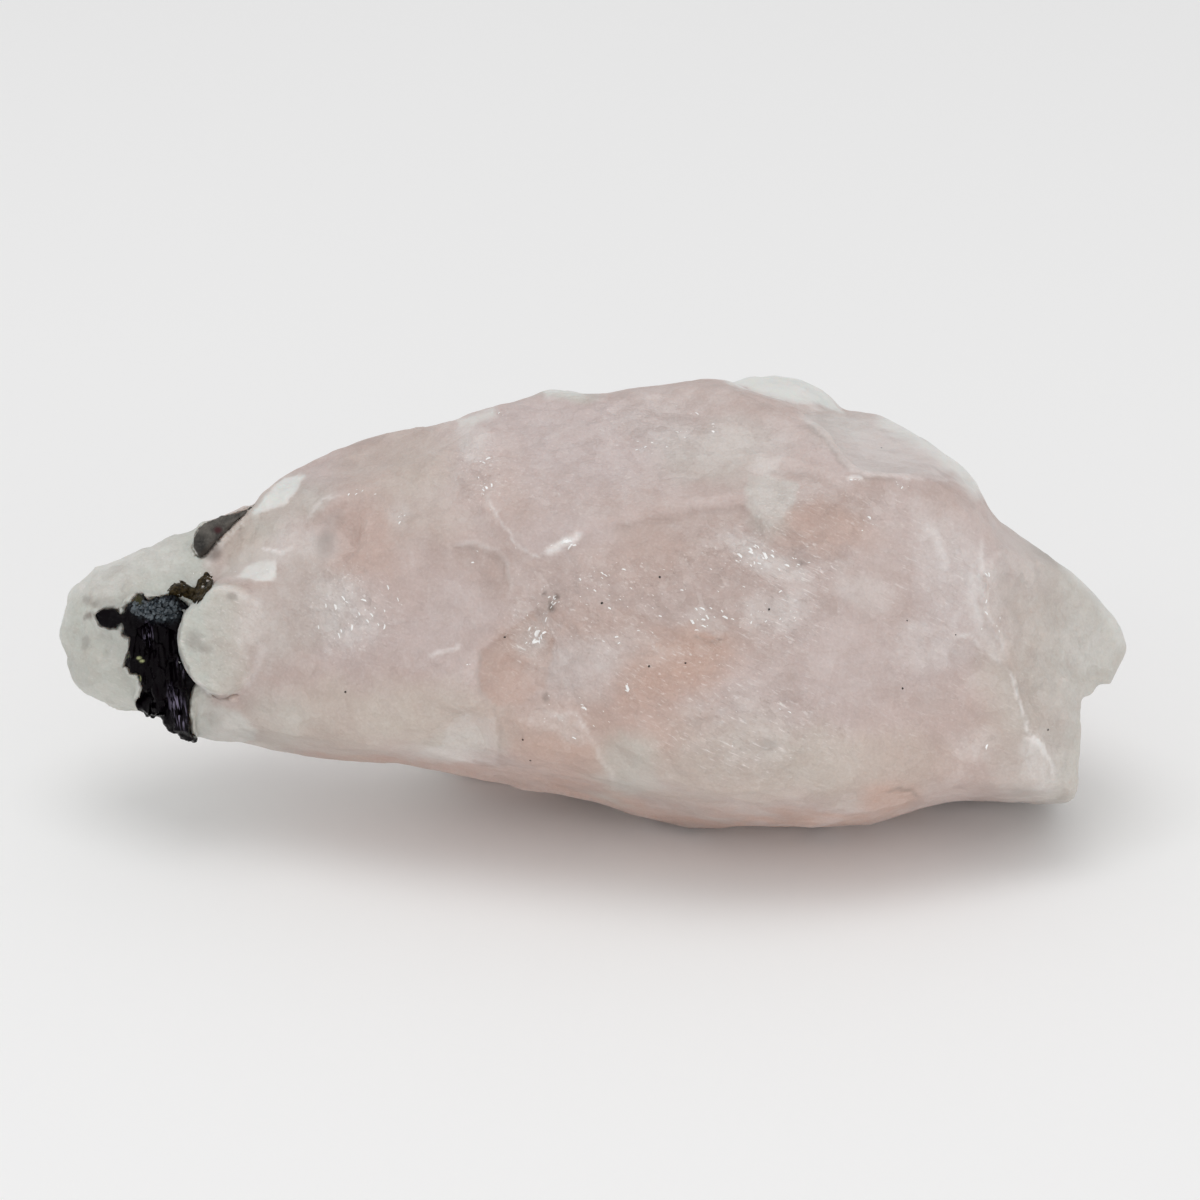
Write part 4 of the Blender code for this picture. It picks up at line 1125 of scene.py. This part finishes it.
# The faces of the crystals: outline in the picture, lean across and up, and how far sunk.
CRYSTAL_FACES = [
    ([(94, 615), (102, 609), (113, 608), (108, 618)], 0.0, -6.0, 0.1),
    ([(94, 615), (108, 618), (121, 622), (110, 629), (100, 625)], 0.0, 5.0, 0.1),
    ([(124, 630), (143, 626), (146, 664), (142, 690), (130, 672), (128, 655)], -5.0, 1.0, 0.15),
    ([(145, 624), (154, 620), (152, 660), (150, 690), (145, 690)], 4.0, 1.0, 0.5),
    ([(155, 622), (168, 628), (170, 676), (164, 712), (152, 715), (152, 680)], -2.5, 2.0, -0.15),
    ([(169, 630), (178, 632), (176, 660), (182, 676), (172, 684)], 6.0, 0.0, 0.35),
    ([(168, 686), (184, 690), (189, 716), (192, 737), (174, 728)], 4.0, 3.0, 0.0),
    ([(140, 696), (152, 692), (164, 714), (150, 717), (137, 703)], -1.0, 9.0, 0.2),
]

# Upright grooves in the prisms: where each starts, how far it leans, and its depth in millimetres.
STRIAE = [
    (133, 8, 0.06), (139, 9, 0.1), (146, 11, 0.12), (151, 12, 0.08), (157, 13, 0.1), (163, 14, 0.08),
    (168, 15, 0.12), (173, 16, 0.08), (177, 16, 0.1),
]
# Where the grooves shine: middle, half sizes, turn and strength.
SHEEN = [
    ((148, 634), (5, 12), -8.0, 1.0), ((178, 708), (8, 23), -16.0, 1.0), ((180, 668), (3, 10), -20.0, 0.5),
]
# Pale yellow-green spots between the prisms: middle and half sizes.
LICHEN = [
    ((139, 658), (2.5, 1.6)), ((142, 661), (2.5, 1.5)), ((128, 654), (1.2, 3.0)), ((140, 679), (1.2, 3.0)),
]


def make_tourmaline():
    ground = ground_of("black_tourmaline")
    piece = plate("tourmaline_crystals", CRYSTAL_OUTLINE, ground, back=4.0, edge_drop=0.3)
    fine_skin(piece, CRYSTAL_GRAIN, 1)
    relief = Relief(piece.data)
    for outline, lean_x, lean_y, sunk in CRYSTAL_FACES:
        relief.flat_face(outline, 3.0, lean_x, lean_y, sunk)
        relief.look()
    crust = spot((158, 608), (28, 15), relief, 8.0)
    crust *= smooth_step((relief.faces + 0.1) / 0.3)
    for x, lean, depth in STRIAE:
        relief.crest([(x, 632), (x + lean / 2, 680), (x + lean, 735)], -depth, 2.5)
    right_of_arm = 1.0 - 0.7 * smooth_step((126.0 - relief.x) / 6.0)
    relief.chips(right_of_arm, size=20.0, lean=0.4, step=0.08, stretch=0.4, seed=SEED + 3, blend=0.1)
    relief.look()
    top_crust = crust * smooth_step((relief.x - 124.0) / 6.0)
    relief.chips(top_crust, size=6.0, lean=0.3, step=0.16, seed=SEED + 4, blend=0.12)
    relief.keep_in(*CAD_BOX)
    relief.look()
    store_mask(piece.data, "crust", crust)
    sheen = strongest(*[spot(centre, radii, relief, turn) * share for centre, radii, turn, share in SHEEN])
    store_mask(piece.data, "sheen", sheen * relief.front)
    store_mask(piece.data, "olive", spot((138, 600), (6, 6), relief) * relief.front)
    lichen = strongest(*[spot(centre, radii, relief, reach=1.4) for centre, radii in LICHEN])
    store_mask(piece.data, "lichen", lichen * relief.front)
    shade(piece, 28.0, tourmaline_finish())
    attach(piece, "root")
    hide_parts("black_tourmaline")
    return relief


def ground_of(node):
    """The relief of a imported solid, to lay a plate on."""
    piece = merged_copy(node, node + "_under")
    fine_skin(piece, 0.2 * MM, 1)
    relief = Relief(piece.data.copy())
    bpy.data.objects.remove(piece, do_unlink=True)
    return relief


BLADE_OUTLINE = [
    (198, 529), (204, 523), (212, 519), (221, 516), (231, 514), (241, 511), (250, 506), (256, 503),
    (250, 511), (241, 519), (232, 527), (225, 534), (218, 541), (212, 548), (206, 554), (201, 558),
    (196, 555), (192, 547), (192, 538),
]

BLADE_LEFT_EDGE = [(197, 556), (192, 547), (192, 538), (197, 530)]


def make_blade():
    ground = ground_of("tourmaline_blade")
    piece = plate("grey_blade", BLADE_OUTLINE, ground, back=1.3, edge_drop=0.15)
    fine_skin(piece, BLADE_GRAIN, 1)
    relief = Relief(piece.data)
    everywhere = np.ones(len(relief.x))
    relief.chips(everywhere, size=14.0, lean=0.22, step=0.04, stretch=1.6, turn=-30.0, seed=SEED + 5)
    relief.keep_in(*CAD_BOX)
    relief.look()
    store_mask(piece.data, "rust", spot((218, 530), (5, 4), relief))
    store_mask(piece.data, "dark", spot((200, 544), (7, 11), relief, reach=1.4))
    rim, _, _ = from_path(BLADE_LEFT_EDGE, relief.x, relief.y)
    store_mask(piece.data, "edge", smooth_step(1.0 - rim / 2.0))
    shade(piece, 35.0, blade_finish())
    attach(piece, "root")
    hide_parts("tourmaline_blade")


class Perch:
    """Finds where on the seen side of a relief a pixel of the picture lies."""

    def __init__(self, relief):
        seen = np.nonzero(relief.faces > 0.12)[0]
        self.points = relief.points[seen]
        self.normals = relief.normals[seen]
        self.tree = picture_tree(relief, seen)

    def at(self, x, y):
        """The nearest point to the camera close to that pixel, and its normal."""
        found = [index for _, index, _ in self.tree.find_n((x, y, 0.0), 6)]
        best = max(found, key=lambda index: -float(self.points[index] @ ALONG_VIEW))
        return Vector(self.points[best]), Vector(self.normals[best])


# The two breaks that cut a bit off: a point on each and the way it faces.
BREAKS = {
    "sliver": [((0.3, 0.0, 0.0), (0.8, 0.5, 0.3)), ((-0.3, 0.0, 0.0), (-0.7, 0.6, 0.2))],
    "grain": [((0.0, 0.0, 0.3), (0.3, 0.2, 0.9)), ((0.3, 0.0, 0.0), (0.9, -0.3, 0.1))],
}


def template(name, shape):
    """A small broken bit, modelled once: its points and faces."""
    deselect()
    if shape == "sliver":
        bpy.ops.mesh.primitive_cube_add(size=1.0)
    else:
        bpy.ops.mesh.primitive_ico_sphere_add(subdivisions=1, radius=0.5)
    bit = bpy.context.object
    bpy.ops.object.mode_set(mode="EDIT")
    bpy.ops.mesh.select_all(action="SELECT")
    if shape == "sliver":
        bpy.ops.transform.resize(value=(1.0, 0.24, 0.22))
    for point, outward in BREAKS[shape]:
        bpy.ops.mesh.select_all(action="SELECT")
        bpy.ops.mesh.bisect(plane_co=point, plane_no=outward, clear_outer=True, use_fill=True)
    bpy.ops.mesh.select_all(action="SELECT")
    bpy.ops.mesh.normals_make_consistent(inside=False)
    bpy.ops.object.mode_set(mode="OBJECT")
    bit.name = name
    points = [vert.co.copy() for vert in bit.data.vertices]
    faces = [tuple(face.vertices) for face in bit.data.polygons]
    bpy.data.objects.remove(bit, do_unlink=True)
    return points, faces


def scatter(name, shape, placings, material):
    """Many copies of one bit in one piece. A placing is a point, a normal, a direction and three sizes."""
    points, faces = template(name, shape)
    made_points = []
    made_faces = []
    for point, normal, along, sizes in placings:
        sideways = normal.cross(along).normalized()
        stand = Matrix((sideways.cross(normal), sideways, normal)).transposed().to_4x4()
        matrix = Matrix.Translation(point) @ stand @ Matrix.Diagonal((*sizes, 1.0))
        first = len(made_points)
        made_points += [matrix @ corner for corner in points]
        made_faces += [tuple(first + index for index in face) for face in faces]
    mesh = bpy.data.meshes.new(name)
    mesh.from_pydata(made_points, [], made_faces)
    mesh.update()
    piece = bpy.data.objects.new(name, mesh)
    bpy.context.scene.collection.objects.link(piece)
    kept_in = np.clip(mesh_points(mesh), np.array(CAD_BOX[0]), np.array(CAD_BOX[1]))
    mesh.vertices.foreach_set("co", kept_in.astype(np.float32).ravel())
    mesh.update()
    mesh.materials.append(material)
    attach(piece, "root")


# Painted glints, small near-white bits standing in for highlights: middle and half sizes of each cluster in
# pixels, slant in degrees (above zero it runs down to the right), how many, and the longest.
GLINTS = [
    ((551, 601), (8, 10), -60, 12, 9), ((536, 630), (12, 17), -60, 18, 10),
    ((352, 612), (30, 22), 60, 26, 9), ((356, 490), (16, 7), -30, 5, 8), ((400, 514), (6, 10), -60, 4, 8),
    ((478, 457), (10, 6), 30, 5, 8), ((487, 484), (12, 8), 50, 7, 8), ((488, 506), (5, 3), 0, 2, 5),
    ((680, 428), (34, 16), 30, 13, 7), ((645, 443), (14, 6), -20, 4, 6), ((600, 572), (30, 10), 20, 7, 7),
    ((592, 592), (36, 22), 30, 20, 7), ((650, 602), (60, 26), 30, 18, 5), ((720, 562), (44, 16), 25, 10, 6),
    ((757, 557), (20, 12), 40, 18, 11), ((803, 563), (10, 5), 20, 6, 9), ((775, 613), (28, 18), -40, 16, 6),
    ((708, 620), (20, 8), 28, 16, 9), ((612, 638), (54, 7), 10, 10, 5), ((624, 691), (3, 4), 60, 3, 11),
    ((742, 733), (46, 26), 20, 9, 6), ((582, 716), (20, 12), 45, 8, 9), ((545, 719), (12, 4), 0, 4, 6),
    ((467, 662), (9, 2), 5, 4, 9), ((870, 525), (10, 11), 30, 4, 8), ((903, 484), (9, 3), 0, 4, 8),
    ((985, 590), (8, 36), 75, 7, 9), ((1003, 625), (4, 8), 80, 3, 8), ((990, 745), (2, 4), -70, 3, 8),
    ((205, 573), (6, 3), -40, 5, 6), ((258, 571), (14, 5), -10, 4, 9), ((740, 600), (40, 30), 30, 8, 5),
    ((495, 412), (14, 4), -20, 4, 7), ((560, 700), (30, 10), 20, 5, 6), ((565, 544), (13, 5), -30, 14, 10),
    ((855, 478), (7, 1), 0, 3, 9), ((500, 560), (30, 14), 40, 4, 6),
]


def make_glints(perch, chance):
    placings = []
    for (x, y), (wide, high), slant, count, longest in GLINTS:
        for _ in range(count):
            point, normal = perch.at(x + chance.gauss(0.0, 0.6) * wide, y + chance.gauss(0.0, 0.6) * high)
            slanted = math.radians(slant + chance.gauss(0.0, 22.0))
            along = Vector((math.cos(slanted), 0.0, 0.0)) - Vector(UP_IN_VIEW) * math.sin(slanted)
            lean = Vector([chance.uniform(-0.3, 0.3) for _ in range(3)])
            length = (0.25 + 0.75 * chance.random() ** 2) * longest * PIXEL
            sizes = (length, length * chance.uniform(0.6, 1.2), length * 0.5)
            placings.append((point, (normal + lean).normalized(), along, sizes))
    # Painted highlights: near-white bits where the stone would catch the light.
    finish = grain_finish("glint_white", "f4f2f0", "ffffff", 0.08)
    scatter("painted_glints", "sliver", placings, finish)


def any_way(chance):
    return Vector([chance.uniform(-1.0, 1.0) for _ in range(3)])


def make_crust(perch, chance):
    """Grains on top of the black crystals."""
    placings = []
    for _ in range(150):
        turn = chance.uniform(0.0, 2.0 * math.pi)
        away = math.sqrt(chance.random())
        x = 156 + 25 * away * math.cos(turn)
        y = 609 + 11 * away * math.sin(turn)
        point, normal = perch.at(x, y)
        size = chance.uniform(2.0, 5.5) * PIXEL
        sizes = (size, size * chance.uniform(0.6, 1.2), size * chance.uniform(0.5, 1.0))
        placings.append((point, normal, any_way(chance), sizes))
    finish = grain_finish("slate_grains", "22262b", "5c666d", 0.3)
    scatter("crust_grains", "grain", placings, finish)


VEIN_OUTLINE = [
    (166, 591), (172, 584), (180, 581), (188, 584), (195, 586), (198, 580), (201, 575), (206, 572),
    (213, 578), (213, 586), (208, 592), (203, 600), (196, 605), (190, 600), (184, 597), (177, 598),
    (170, 598),
]


def make_vein(stone):
    """The brown crust that runs along the top of the black crystals."""
    piece = plate("brown_vein", VEIN_OUTLINE, stone, back=1.2, edge_drop=0.3, raised=0.35)
    fine_skin(piece, CRYSTAL_GRAIN, 1)
    relief = Relief(piece.data)
    everywhere = np.ones(len(relief.x))
    relief.chips(everywhere, size=6.0, lean=0.2, step=0.08, seed=SEED + 6, blend=0.12)
    relief.keep_in(*CAD_BOX)
    relief.look()
    shade(piece, 28.0, grain_finish("brown_crust", "060403", "43371f", 0.3, 0.1))
    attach(piece, "root")


SPECKS = [
    (881, 447), (342, 691), (523, 743), (531, 762), (648, 663), (685, 661), (662, 574), (957, 636),
    (1051, 729), (909, 622), (503, 640), (770, 612), (905, 690), (600, 600),
]


def make_specks(perch, chance):
    placings = []
    for x, y in SPECKS:
        point, normal = perch.at(x, y)
        size = chance.uniform(1.6, 3.2) * PIXEL
        placings.append((point, normal, any_way(chance), (size, size, size * 0.5)))
    finish = grain_finish("dark_specks", "1c1613", "3c302a", 0.4)
    scatter("dark_specks", "grain", placings, finish)


def make_room():
    """A pale floor, and soft light from all round and from above."""
    deselect()
    just_below = (0.0, 0.0, -0.05 * MM)
    bpy.ops.mesh.primitive_grid_add(x_subdivisions=2, y_subdivisions=2, size=12.0, location=just_below)
    floor = bpy.context.object
    floor.name = "floor"
    paper = Finish("pale_floor")
    floor.data.materials.append(paper.done(paper.shader(Base_Color=paint("fbfbfb"), Roughness=0.9)))

    world = bpy.data.worlds.new("room")
    world.use_nodes = True
    background = world.node_tree.nodes["Background"]
    background.inputs["Color"].default_value = (1.0, 1.0, 1.0, 1.0)
    background.inputs["Strength"].default_value = 0.665
    bpy.context.scene.world = world

    # Name, place and size in metres, and power in watts.
    for name, place, size, power in [
        ("top_light", (-0.05, -0.05, 0.6), 0.4, 0.75),
        ("left_light", (-0.5, -0.35, 0.45), 0.2, 0.15),
        ("right_light", (0.5, -0.4, 0.15), 0.3, 0.35),
        ("low_light", (0.0, -0.6, 0.03), 0.4, 0.55),
    ]:
        lamp = bpy.data.lights.new(name, "AREA")
        lamp.size = size
        lamp.energy = power
        light = bpy.data.objects.new(name, lamp)
        bpy.context.scene.collection.objects.link(light)
        light.location = place
        aim = Vector((0.0, 0.0, 0.02)) - Vector(place)
        light.rotation_euler = aim.to_track_quat("-Z", "Y").to_euler()
    bpy.context.scene.view_settings.view_transform = "Standard"


make_camera()
make_room()
quartz = make_quartz()
tourmaline = make_tourmaline()
make_blade()
chance = random.Random(SEED)
stone_perch = Perch(quartz)
make_glints(stone_perch, chance)
make_crust(Perch(tourmaline), chance)
make_vein(quartz)
make_specks(stone_perch, chance)
